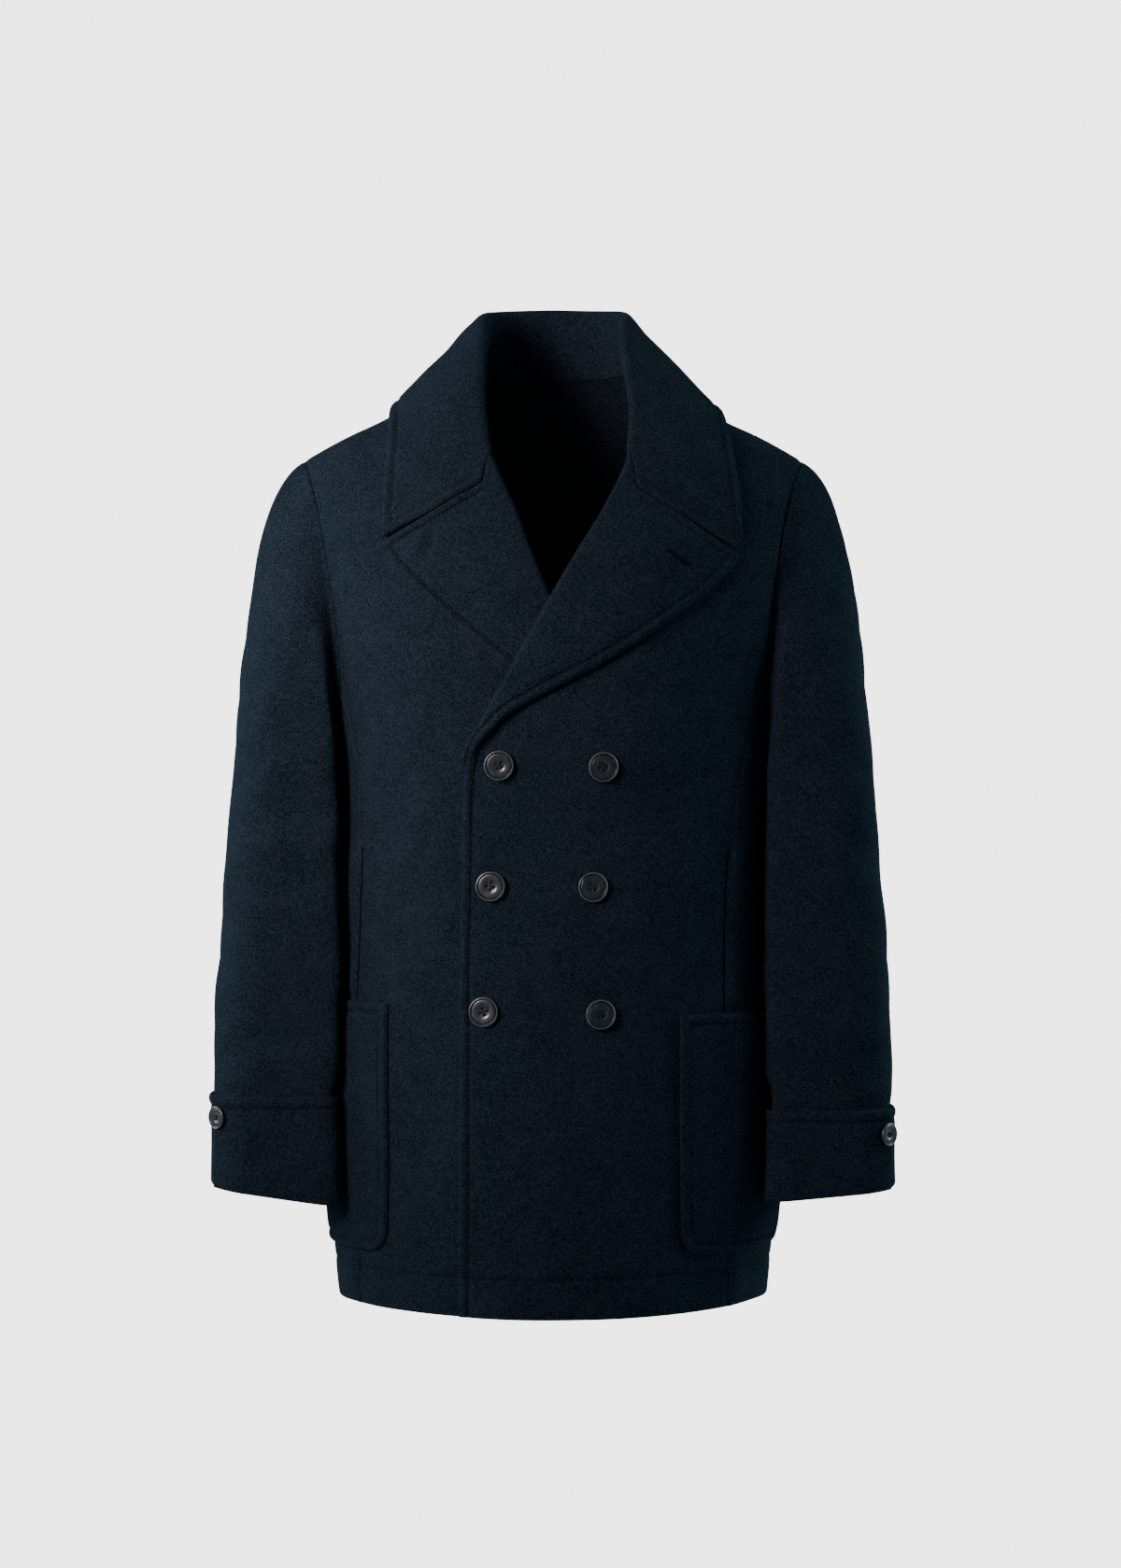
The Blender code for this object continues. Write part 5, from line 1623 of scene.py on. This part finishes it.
    def collar_edge(self, half: Half, stations: Grid) -> Grid:
        """Under side of the collar's outer edge, resting on the back, the shoulder and the front."""
        x, z = half.collar_edge.at("x", stations), half.collar_edge.at("height", stations)
        whole = np.arange(self.stations + 1.0)
        wx, wz = half.collar_edge.at("x", whole), half.collar_edge.at("height", whole)
        behind, before = torso_depth(wx, wz, Face.BACK), front_surface(half, wx, wz)[:, 1]
        wy = np.where(whole < BACK_NECK_STEPS, behind, before)
        wy[BACK_NECK_STEPS] = 0.0
        depth = Table("station y", *zip(whole, wy))
        points = np.stack((x, depth.at("y", stations), z), axis=-1)
        return rested(half, points, self.collar_rest)

    def collar_end(self, half: Half, falls: Grid) -> Grid:
        """Under side of the collar's end, along the lapel's top edge and parting from it at its tip."""
        along = falls * half.collar_end_share
        x, z = half.notch.at("x", along), half.notch.at("height", along)
        z = z + self.parting * ease(0.4, 1.0, falls)
        off = lerp(2 * self.roll_radius, self.collar_rest, falls)
        return rested(half, front_surface(half, x, z), off)

    def collar_half(self, half: Half, stations: Grid, falls: Grid) -> tuple[Grid, Grid, Grid]:
        """Half of the collar's under face, its normals and its thickness."""
        seam = self.neckline(half, stations)
        crest = np.stack([half.collar_crest.at(c, stations) for c in ("x", "y", "height")], axis=-1)
        edge = self.collar_edge(half, stations)
        foot, _ = seam.turned(1.0, np.zeros(len(stations)))
        height = np.linalg.norm(crest - foot, axis=-1, keepdims=True)
        up = unit(crest - foot)
        stem = np.maximum(height - COLLAR_CLOTH - self.collar_radius, self.shortest_stand)
        top = foot + up * stem
        out = unit(seam.normals - up * np.sum(seam.normals * up, axis=-1, keepdims=True))
        stem_shares = np.linspace(0, 1, self.stem_columns + 1)[:-1]
        columns = [lerp(foot, top, share) for share in stem_shares]
        for turn in np.radians(np.linspace(0, self.collar_turn, self.turn_columns)):
            bend = math.sin(turn) * up + (1 - math.cos(turn)) * out
            columns.append(top + self.collar_radius * bend)
        start = columns[-1]
        reach = np.linalg.norm(edge - start, axis=-1, keepdims=True)
        for t in falls:
            column = lerp(start, edge, t) + out * reach * self.collar_bulge * t * (1 - t) ** 2
            clearance = lerp(COLLAR_CLOTH, self.collar_rest, t)
            columns.append(rested(half, column, clearance, only_out=True))
        under = np.array(columns).transpose(1, 0, 2)
        roll = self.roll_seam(half, np.array([0.0, 0.2]))
        turned = self.rolled(roll, self.roll_radius, 2)
        end = np.concatenate((np.array([p[0] for p, _ in turned]), self.collar_end(half, falls)))
        near_end = np.clip(stations - (self.stations - 1), 0, 1)[:, None, None]
        under = lerp(under, end[None], near_end)
        normals = grid_normals(under)
        normals[:, 0] = seam.normals
        thick = lerp(COLLAR_CLOTH, LAPEL_CLOTH, near_end)
        return under, normals, np.broadcast_to(thick, under.shape[:2] + (1,))

    def collar(self) -> Cloth:
        """The whole collar, its stand, fold and stitched fall."""
        length = self.collar_half_length
        stations = spaced(length, 0.0040, (near_end(length),)) * self.stations
        falls = self.fall_shares(self.collar_fall)
        halves = []
        for half in (RIGHT, LEFT):
            under, normals, thick = self.collar_half(half, stations, falls)
            under[-1] += unit(under[-2] - under[-1]) * self.gorge_gap
            flip = (half.sign, 1, 1)
            halves.append((under * flip, normals * flip, thick))
        joined = [np.concatenate((r[::-1], l[1:])) for r, l in zip(*halves)]
        under, normals, thick = joined
        middle = len(stations) - 1
        normals[middle, :, 0] = 0.0
        normals = unit(normals)
        piece = Cloth("wool_collar", under - normals * thick, under)
        piece.normals = -normals
        standing = self.stem_columns + self.turn_columns
        place = np.arange(under.shape[1])[None] >= standing
        fall = np.concatenate((np.zeros(standing), falls))[None]
        belly = self.collar_belly * np.sin(fall * math.pi) ** 0.8
        ends = ease(0.0, 0.04, 1 - np.abs(np.linspace(-1, 1, under.shape[0]))[:, None])
        waves = COLLAR_WAVES.at(under[..., 0], under[..., 2] + under[..., 1])
        still = ease(0.0, 0.2, fall) * ease(1.0, 0.8, fall) * ends
        piece.press((belly * ends + waves * still) * place)
        inset = self.stitch_inset
        edge_distance, run = piece.reach(Edge.LAST_COLUMN)
        piece.stitch_off = edge_distance - inset
        piece.stitch_run = run
        for edge in (Edge.FIRST_ROW, Edge.LAST_ROW):
            distance, along = piece.reach(edge)
            distance = distance + 0.03 * (1 - ease(0.16, 0.26, fall))
            nearer = distance < piece.stitch_off + inset
            piece.stitch_off = np.where(nearer, distance - inset, piece.stitch_off)
            piece.stitch_run = np.where(nearer, along, piece.stitch_run)
        piece.swell_edge(piece.stitch_off + inset, inset)
        return piece.turn((Edge.LAST_COLUMN, Edge.FIRST_ROW, Edge.LAST_ROW), THICK_ROUND)

    def build(self) -> None:
        """Make and tie the lapels and the collar."""
        for half in (LEFT, RIGHT):
            item = self.lapel(half).make(half.sign, self.wool)
            finish_cloth(item, f"lapel_{half.name}")
        finish_cloth(self.collar().make(1, self.wool), "collar")


@dataclass
class Pockets:
    """Patch pockets with round corners, and the hand-warmer mouths above them."""

    wool: bpy.types.Material
    width: float = 0.155
    foot: float = -0.743
    corner: float = 0.022
    cell: float = 0.0036
    fullness: float = 0.0012
    stitch_inset: float = 0.0080
    welt_width: float = 0.010
    welt_top: float = -0.408
    welt_cloth: float = 0.0018
    welt_flush: float = 0.0004
    samples: int = 240
    pocket_cut: Cut = Cut(0.162, 0.217, 0.033)
    welt_cut: Cut = Cut(0.011, 0.131, 0.0014)

    def section(self, z: float, lengths: Grid) -> tuple[Grid, Grid]:
        """Points and normals round the torso's section at a height, by the length from its front."""
        angles = np.linspace(0, math.pi, self.samples)
        width = TORSO.at("half_width", z)
        depth = np.where(angles < math.pi / 2, TORSO.at("front_depth", z), TORSO.at("back_depth", z))
        power = 2 / TORSO.at("squareness", z)
        x = width * np.sin(angles) ** power
        y = -depth * np.sign(np.cos(angles)) * np.abs(np.cos(angles)) ** power
        run = np.concatenate(([0.0], np.cumsum(np.hypot(np.diff(x), np.diff(y)))))
        across, forward = np.interp(lengths, run, x), np.interp(lengths, run, y)
        points = np.stack((across, forward, np.full_like(lengths, z)), axis=-1)
        return points, unit(torso_slope(points))

    def length_to(self, z: float, x: float) -> float:
        """Length round the section from its front middle to an X, on the front."""
        angles = np.linspace(0, math.pi / 2, self.samples)
        power = 2 / TORSO.at("squareness", z)
        across = TORSO.at("half_width", z) * np.sin(angles) ** power
        forward = TORSO.at("front_depth", z) * np.cos(angles) ** power
        run = np.concatenate(([0.0], np.cumsum(np.hypot(np.diff(across), np.diff(forward)))))
        return float(np.interp(x, across, run))

    def plate(self, half: Half, name: str, heights: Grid, spans: list[Grid], cloth: float) -> Cloth:
        """Plate laid on the body: for each height, the lengths round it of its columns."""
        face, back = [], []
        for z, lengths in zip(heights, spans):
            points, normals = self.section(z, lengths)
            lift = normals * np.reshape(lap_lift(half, points[:, 0], np.full(len(points), z)), (-1, 1))
            relief = normals * body_relief(half, points)[:, None]
            laid = points + lift + relief
            back.append(laid + normals * REST_GAP)
            face.append(laid + normals * (REST_GAP + cloth))
        return Cloth(name, np.array(face), np.array(back))

    def pocket(self, half: Half) -> Cloth:
        """A patch pocket, slightly full, its edges stitched."""
        tall = half.pocket_top - self.foot
        near_foot = (0.0, 0.012, 0.0012)
        heights = self.foot + tall * spaced(tall, self.cell, (near_foot, near_end(tall)))
        across = spaced(self.width, self.cell, (NEAR_START, near_end(self.width)))
        rise = np.clip(heights - self.foot, 0, self.corner)
        insets = self.corner - np.sqrt(np.maximum(self.corner**2 - (self.corner - rise) ** 2, 0.0))
        spans = []
        for z, inset in zip(heights, insets):
            start = self.length_to(z, half.pocket_from)
            spans.append(lerp(start + inset, start + self.width - inset, across))
        piece = self.plate(half, f"wool_pocket_{half.name}", heights, spans, CLOTH)
        up = np.linspace(0, 1, len(heights))
        full = np.sin(math.pi * across)[None] ** 0.6 * np.sin(math.pi * up)[:, None] ** 0.6
        piece.press(self.fullness * full, through=False)
        piece.stitch(ALL_EDGES, self.stitch_inset, sink=0.0009)
        return piece.turn(ALL_EDGES, lift=0.0)

    def welt(self, half: Half) -> Cloth:
        """The narrow raised mouth of the hand-warmer pocket, along the side-front seam."""
        heights = lerp(half.pocket_top + 0.004, self.welt_top, spaced(0.134, 0.0025))
        columns = np.linspace(0, 1, 11)
        spans = []
        for z in heights:
            seam = self.length_to(z, float(half.side_front_seam.at("x", z)))
            spans.append(lerp(seam - self.welt_width, seam, columns))
        piece = self.plate(half, f"wool_welt_{half.name}", heights, spans, self.welt_flush)
        lip = ease(0.05, 0.75, columns)
        along = np.linspace(0, 1, len(heights))[:, None]
        ends = ease(0.0, 0.06, along) * ease(1.0, 0.94, along)
        piece.press((self.welt_cloth + 0.0004) * lip * ends, through=False)
        return piece.turn((Edge.LAST_COLUMN,), 0.002, lift=0.0)

    def build(self) -> None:
        """Make and tie the pockets and their mouths."""
        for half in (LEFT, RIGHT):
            pocket = self.pocket(half).make(half.sign, self.wool)
            finish_cloth(pocket, f"pocket_{half.name}")
            welt = self.welt(half).make(half.sign, self.wool)
            finish_cloth(welt, f"welt_{half.name}")


@dataclass
class Buttons:
    """Four-hole buttons with a raised rim, their sewing thread, and the buttonholes."""

    horn: bpy.types.Material
    thread: bpy.types.Material
    edging: bpy.types.Material
    sleeves: Sleeves
    revers: Revers
    front_radius: float = 0.0122
    cuff_radius: float = 0.0094
    sides: int = 72
    off_cloth: float = 0.0009
    off_cuff: float = 0.0012
    cuff_button_in: float = math.radians(10)
    hole_place: float = 0.220
    hole_radius: float = 0.094
    hole_depth: float = 0.125
    # place and width of the highlight painted round the rim
    rim_highlight_at: float = 0.945
    rim_highlight_width: float = 0.030
    thread_radius: float = 0.00019
    thread_shift: float = 0.015
    thread_end: float = 0.085
    thread_arch: float = 0.090
    upper_bar: float = 0.036
    shank_radius: float = 0.0019
    buttonhole_half_width: float = 0.0011
    front_places: tuple[tuple[str, float, float, float], ...] = (
        ("1_right", -0.0433, -0.3410, 27.0),
        ("1_left", 0.0410, -0.3420, -14.0),
        ("2_right", -0.0502, -0.4395, 10.0),
        ("2_left", 0.0327, -0.4400, 48.0),
        ("3_right", -0.0555, -0.5415, -20.0),
        ("3_left", 0.0388, -0.5435, 33.0),
    )
    profile: Table = field(
        default_factory=lambda: Table(
            "share height",
            (0.0, 0.150), (0.31, 0.155), (0.40, 0.176), (0.47, 0.192), (0.70, 0.200),
            (0.79, 0.190), (0.845, 0.145), (0.890, 0.205), (0.935, 0.275), (0.970, 0.262), (1.0, 0.190),
        )
    )

    def button(self, name: str, middle: Grid, normal: Grid, radius: float, spin: float) -> None:
        """Turn one button, drill and sew it on.

        Args:
            name: the button's name, as in its node.
            middle: middle of its back.
            normal: direction that it faces.
            radius: its radius.
            spin: turn of its holes in degrees.
        """
        normal = unit(np.asarray(normal, dtype=float))
        level = unit(np.cross(normal, (0.0, 0.0, 1.0)))
        upright = np.cross(level, normal)
        stretches = ((0.03, 0.34, 22), (0.36, 0.74, 8), (0.76, 1.0, 16))
        shares = np.concatenate([np.linspace(*stretch) for stretch in stretches])
        turn = 2 * math.pi * np.arange(self.sides) / self.sides
        u = shares[:, None] * np.cos(turn)
        v = shares[:, None] * np.sin(turn)
        height = np.broadcast_to(self.profile.at("height", shares)[:, None], u.shape).copy()
        holes = math.radians(spin) + math.pi / 2 * np.arange(4)
        # share of each point that lies in a hole, for the shade painted there
        painted_hole_shade = np.zeros(u.shape)
        for angle in holes:
            gap = np.hypot(u - self.hole_place * math.cos(angle), v - self.hole_place * math.sin(angle))
            drilled = 1 - ease(self.hole_radius * 0.80, self.hole_radius * 1.08, gap)
            height -= self.hole_depth * drilled
            painted_hole_shade = np.maximum(painted_hole_shade, drilled)
        rings = [np.stack((u, v, height), axis=-1)]
        for share, low in ((1.0, 0.08), (0.86, 0.0)):
            edge = np.stack((share * np.cos(turn), share * np.sin(turn), np.full_like(turn, low)), axis=-1)
            rings.append(edge[None])
        local = np.concatenate(rings).reshape(-1, 3)
        caps = np.array([[0.0, 0.0, float(self.profile.at("height", 0.0))], [0.0, 0.0, 0.0]])
        local = np.concatenate((local, caps)) * radius
        points = middle + local[:, :1] * level + local[:, 1:2] * upright + local[:, 2:] * normal
        count = len(shares) + 2
        faces = []
        for i in range(count - 1):
            here, below = i * self.sides, (i + 1) * self.sides
            for j in range(self.sides):
                k = (j + 1) % self.sides
                faces.append([here + j, below + j, below + k, here + k])
        last = (count - 1) * self.sides
        for j in range(self.sides):
            k = (j + 1) % self.sides
            faces.append([len(points) - 2, j, k])
            faces.append([len(points) - 1, last + k, last + j])
        mesh = bpy.data.meshes.new(f"button_{name}")
        mesh.from_pydata(points.tolist(), [], faces)
        mesh.shade_smooth()
        mesh.set_sharp_from_angle(angle=math.radians(50))
        mesh.materials.append(self.horn)
        # ring of painted highlight round the rim; both masks go to the horn's colour
        painted_rim_highlight = np.broadcast_to(bell(shares[:, None] - self.rim_highlight_at, self.rim_highlight_width), u.shape)
        for layer, values in (("painted_hole_shade", painted_hole_shade), ("painted_rim_highlight", painted_rim_highlight)):
            padded = np.concatenate((values.reshape(-1), np.zeros(len(points) - values.size)))
            keep_values(mesh, layer, padded)
        item = bpy.data.objects.new(f"horn_button_{name}", mesh)
        bpy.context.scene.collection.objects.link(item)
        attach(item, "root")
        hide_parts(f"button_{name}")
        self.sew(name, middle, (level, upright, normal), radius, holes)
        log.info("%s: %d faces", item.name, len(mesh.polygons))

    def sew(self, name: str, middle: Grid, axes: tuple, radius: float, holes: Grid) -> None:
        """Two crossed bars of thread between the holes, and the shank behind."""
        level, upright, normal = axes
        strands = []
        for first, second, over in ((0, 2, 0.0), (1, 3, self.upper_bar)):
            for shift in (-self.thread_shift, self.thread_shift):
                angles = holes[[first, second]]
                ends = self.hole_place * np.stack((np.cos(angles), np.sin(angles)), axis=-1)
                way = unit(ends[1] - ends[0])
                aside = np.array([-way[1], way[0]]) * shift
                path = []
                for t in np.linspace(0, 1, 9):
                    flat = lerp(ends[0] - way * 0.02, ends[1] + way * 0.02, t) + aside
                    arch = (self.thread_arch + over) * math.sin(math.pi * t) ** 0.35
                    high = self.thread_end + arch
                    path.append(middle + radius * (flat[0] * level + flat[1] * upright + high * normal))
                strands.append(tube(np.array(path), self.thread_radius, 8))
        shank = np.array((middle - normal * 0.0004, middle + normal * 0.0004))
        strands.append(tube(shank, self.shank_radius, 16))
        points, faces = merged(strands)
        item = mesh_object(f"button_thread_{name}", points, faces, self.thread)
        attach(item, "root")

    def buttonhole(self, name: str, ends: tuple, laid: Callable[[Grid], Grid]) -> None:
        """Worked buttonhole: a ring of close stitches round a slit.

        Args:
            name: the piece's name.
            ends: (x, height) of its two ends on the left half.
            laid: points on the cloth at some (x, height).
        """
        ends = np.array(ends)
        way = unit(ends[1] - ends[0])
        aside = np.array([-way[1], way[0]])
        outline = []
        for side, start, end in ((1, *ends), (-1, *ends[::-1])):
            gap = side * self.buttonhole_half_width
            for t in np.linspace(0, 1, 26):
                outline.append(lerp(start, end, t) + aside * gap)
            for turn in np.linspace(0, math.pi, 9)[1:-1]:
                outline.append(end + gap * (aside * math.cos(turn) + way * math.sin(turn)))
        path = laid(np.array(outline))
        normals = torso_normals(LEFT, path)
        ridges = 0.00055 * (1 + 0.28 * np.cos(np.arange(len(path)) * math.pi))
        points, faces = ring_tube(path, normals, ridges)
        item = mesh_object(name, points, faces, self.edging)
        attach(item, "root")
        log.info("%s: %d faces", name, len(faces))

    def build(self) -> None:
        """Make every button and buttonhole."""
        step = 0.006
        for name, x, z, spin in self.front_places:
            here = front_surface(LEFT, np.array(x), np.array(z))
            beside = front_surface(LEFT, np.array(x + step), np.array(z))
            above = front_surface(LEFT, np.array(x), np.array(z + step))
            normal = unit(np.cross(beside - here, above - here))
            lifted = here + normal * (self.off_cloth + max(0.0, float(body_relief(LEFT, here))))
            self.button(name, lifted, normal, self.front_radius, spin)
        for half, spin in ((LEFT, 12.0), (RIGHT, 40.0)):
            spread = self.sleeves.cuff_gap + REST_GAP + 2 * CUFF_CLOTH
            angle = self.sleeves.cuff_end_angle + self.cuff_button_in
            turned = np.array([angle, angle + 0.02])
            here, beside = self.sleeves.ring(np.array(half.cuff_button_height), turned, spread)
            normal = unit(np.cross((0, 0, 1), beside - here))
            normal = -normal if normal[1] > 0 else normal
            mirror = np.array((half.sign, 1, 1))
            middle = (here + normal * self.off_cuff) * mirror
            self.button(f"cuff_{half.name}", middle, normal * mirror, self.cuff_radius, spin)
        self.buttonhole(
            "buttonhole_lapel",
            ((0.0955, -0.1645), (0.1110, -0.1752)),
            lambda places: self.revers.laid_on(LEFT, places),
        )
        self.buttonhole(
            "buttonhole_front",
            ((-0.0405, -0.5425), (-0.0325, -0.5422)),
            lambda places: rested(LEFT, front_surface(LEFT, *places.T), 0.0001),
        )


def tube(path: Grid, radius: float, sides: int) -> tuple[Grid, Grid]:
    """Closed round tube along a path: its points and quads."""
    along = unit(np.gradient(path, axis=0))
    guide = np.array((0.3, 0.5, 0.81))
    across = unit(np.cross(along, guide))
    other = np.cross(along, across)
    turn = 2 * math.pi * np.arange(sides) / sides
    ring = np.cos(turn)[None, :, None] * across[:, None] + np.sin(turn)[None, :, None] * other[:, None]
    points = (path[:, None] + radius * ring).reshape(-1, 3)
    index = np.arange(len(path) * sides).reshape(len(path), sides)
    quads = quads_between(np.concatenate((index, index[:, :1]), axis=1))
    caps = []
    for row, flip in ((index[0], True), (index[-1], False)):
        for k in range(1, sides - 2, 2):
            quad = [row[0], row[k], row[k + 1], row[k + 2]]
            caps.append(quad[::-1] if flip else quad)
    return points, np.concatenate((quads, np.array(caps)))


def ring_tube(path: Grid, normals: Grid, radii: Grid) -> tuple[Grid, Grid]:
    """Tube round a closed path, its radius given at each point."""
    sides = 8
    along = unit(np.roll(path, -1, axis=0) - np.roll(path, 1, axis=0))
    across = unit(np.cross(along, normals))
    turn = 2 * math.pi * np.arange(sides) / sides
    ring = np.cos(turn)[None, :, None] * across[:, None] + np.sin(turn)[None, :, None] * normals[:, None]
    points = (path[:, None] + radii[:, None, None] * ring).reshape(-1, 3)
    index = np.arange(len(path) * sides).reshape(len(path), sides)
    return points, quads_between(np.pad(index, ((0, 1), (0, 1)), mode="wrap"))


def merged(parts: list[tuple[Grid, Grid]]) -> tuple[Grid, Grid]:
    """Several meshes of quads as one."""
    points, faces, offset = [], [], 0
    for part_points, part_faces in parts:
        points.append(part_points)
        faces.append(part_faces + offset)
        offset += len(part_points)
    return np.concatenate(points), np.concatenate(faces)


@dataclass(frozen=True)
class Lamp:
    """A square soft light."""

    name: str
    place: tuple[float, float, float]
    target: tuple[float, float, float]
    size: float
    power: float
    spread: float  # degrees
    tint: tuple[float, float, float]


@dataclass
class Studio:
    """Pale floor that sweeps up behind, soft lights and the camera."""

    floor_height: float = -1.50
    half_width: float = 6.0
    front: float = -5.0
    back: float = 3.2
    sweep: float = 1.6
    top: float = 4.0
    camera_place: tuple[float, float, float] = (0.0064, -3.0, -0.356)
    lens: float = 80.4
    sensor: float = 36.0
    sky_tint: tuple[float, float, float, float] = colour(0.26, 1.0, 1.10)
    sky_strength: float = 0.235
    lamps: tuple[Lamp, ...] = (
        Lamp("key_left", (-1.1, -1.2, 0.2), (-0.25, 0.0, -0.18), 0.7, 8.8, 65.0, (1.55, 1.0, 0.92)),
        Lamp("backdrop_left", (-2.4, 0.7, 0.6), (-0.2, 3.2, -0.5), 2.0, 208.0, 150.0, (1.13, 1.0, 0.985)),
        Lamp("backdrop_right", (2.4, 0.7, 0.6), (0.2, 3.2, -0.5), 2.0, 198.0, 150.0, (1.13, 1.0, 0.985)),
    )

    def floor(self) -> None:
        """The floor and the wall in one sweep."""
        line = [(self.front, self.floor_height), (self.back - self.sweep, self.floor_height)]
        for turn in np.linspace(0, math.pi / 2, 17)[1:]:
            y = self.back - self.sweep + self.sweep * math.sin(turn)
            line.append((y, self.floor_height + self.sweep * (1 - math.cos(turn))))
        line.append((self.back, self.top))
        points = np.array([(x, y, z) for y, z in line for x in (-self.half_width, self.half_width)])
        faces = [[2 * i, 2 * i + 1, 2 * i + 3, 2 * i + 2] for i in range(len(line) - 1)]
        mesh_object("studio_floor", points, faces, Paper().material())

    def light(self, lamp: Lamp) -> None:
        """Hang one square soft light and aim it."""
        data = bpy.data.lights.new(lamp.name, "AREA")
        data.shape = "SQUARE"
        data.size = lamp.size
        data.energy = lamp.power
        data.color = lamp.tint
        data.spread = math.radians(lamp.spread)
        item = bpy.data.objects.new(lamp.name, data)
        way = np.array(lamp.target) - np.array(lamp.place)
        yaw = math.atan2(way[0], -way[1])
        pitch = math.atan2(math.hypot(way[0], way[1]), -way[2])
        item.location = lamp.place
        item.rotation_euler = (pitch, 0.0, yaw + math.pi)
        bpy.context.scene.collection.objects.link(item)

    def camera(self) -> None:
        """Level camera straight in front."""
        data = bpy.data.cameras.new("camera")
        data.sensor_fit = "VERTICAL"
        data.sensor_width = data.sensor_height = self.sensor
        data.lens = self.lens
        item = bpy.data.objects.new("camera", data)
        item.location = self.camera_place
        item.rotation_euler = (math.pi / 2, 0.0, 0.0)
        bpy.context.scene.collection.objects.link(item)
        bpy.context.scene.camera = item

    def sky(self) -> None:
        """Soft light from all round, behind which the studio is as pale as its paper."""
        world = bpy.data.worlds.new("studio_sky")
        world.use_nodes = True
        tree = world.node_tree
        light = tree.nodes["Background"]
        light.inputs["Color"].default_value = self.sky_tint
        light.inputs["Strength"].default_value = self.sky_strength
        pale = tree.nodes.new("ShaderNodeBackground")
        pale.inputs["Color"].default_value = colour(1.0, 1.0, 1.0)
        pale.inputs["Strength"].default_value = Paper.brightness
        path = tree.nodes.new("ShaderNodeLightPath")
        choice = tree.nodes.new("ShaderNodeMixShader")
        tree.links.new(path.outputs["Is Camera Ray"], choice.inputs[0])
        tree.links.new(light.outputs[0], choice.inputs[1])
        tree.links.new(pale.outputs[0], choice.inputs[2])
        tree.links.new(choice.outputs[0], tree.nodes["World Output"].inputs["Surface"])
        bpy.context.scene.world = world

    def build(self) -> None:
        """Set up floor, sky, lights and camera."""
        self.camera()
        self.floor()
        self.sky()
        for lamp in self.lamps:
            self.light(lamp)
        log.info("studio ready")


def main() -> None:
    """Build the coat and its studio."""
    logging.basicConfig(level=logging.INFO, format="%(message)s")
    wool = Wool().material()
    Studio().build()
    Body(wool).build()
    sleeves = Sleeves(wool)
    sleeves.build()
    revers = Revers(wool)
    revers.build()
    Pockets(wool).build()
    grey = Thread("grey_thread", colour(0.0100, 0.0120, 0.0145))
    Buttons(Horn().material(), grey.material(), Thread().material(), sleeves, revers).build()


if __name__ == "__main__":
    main()
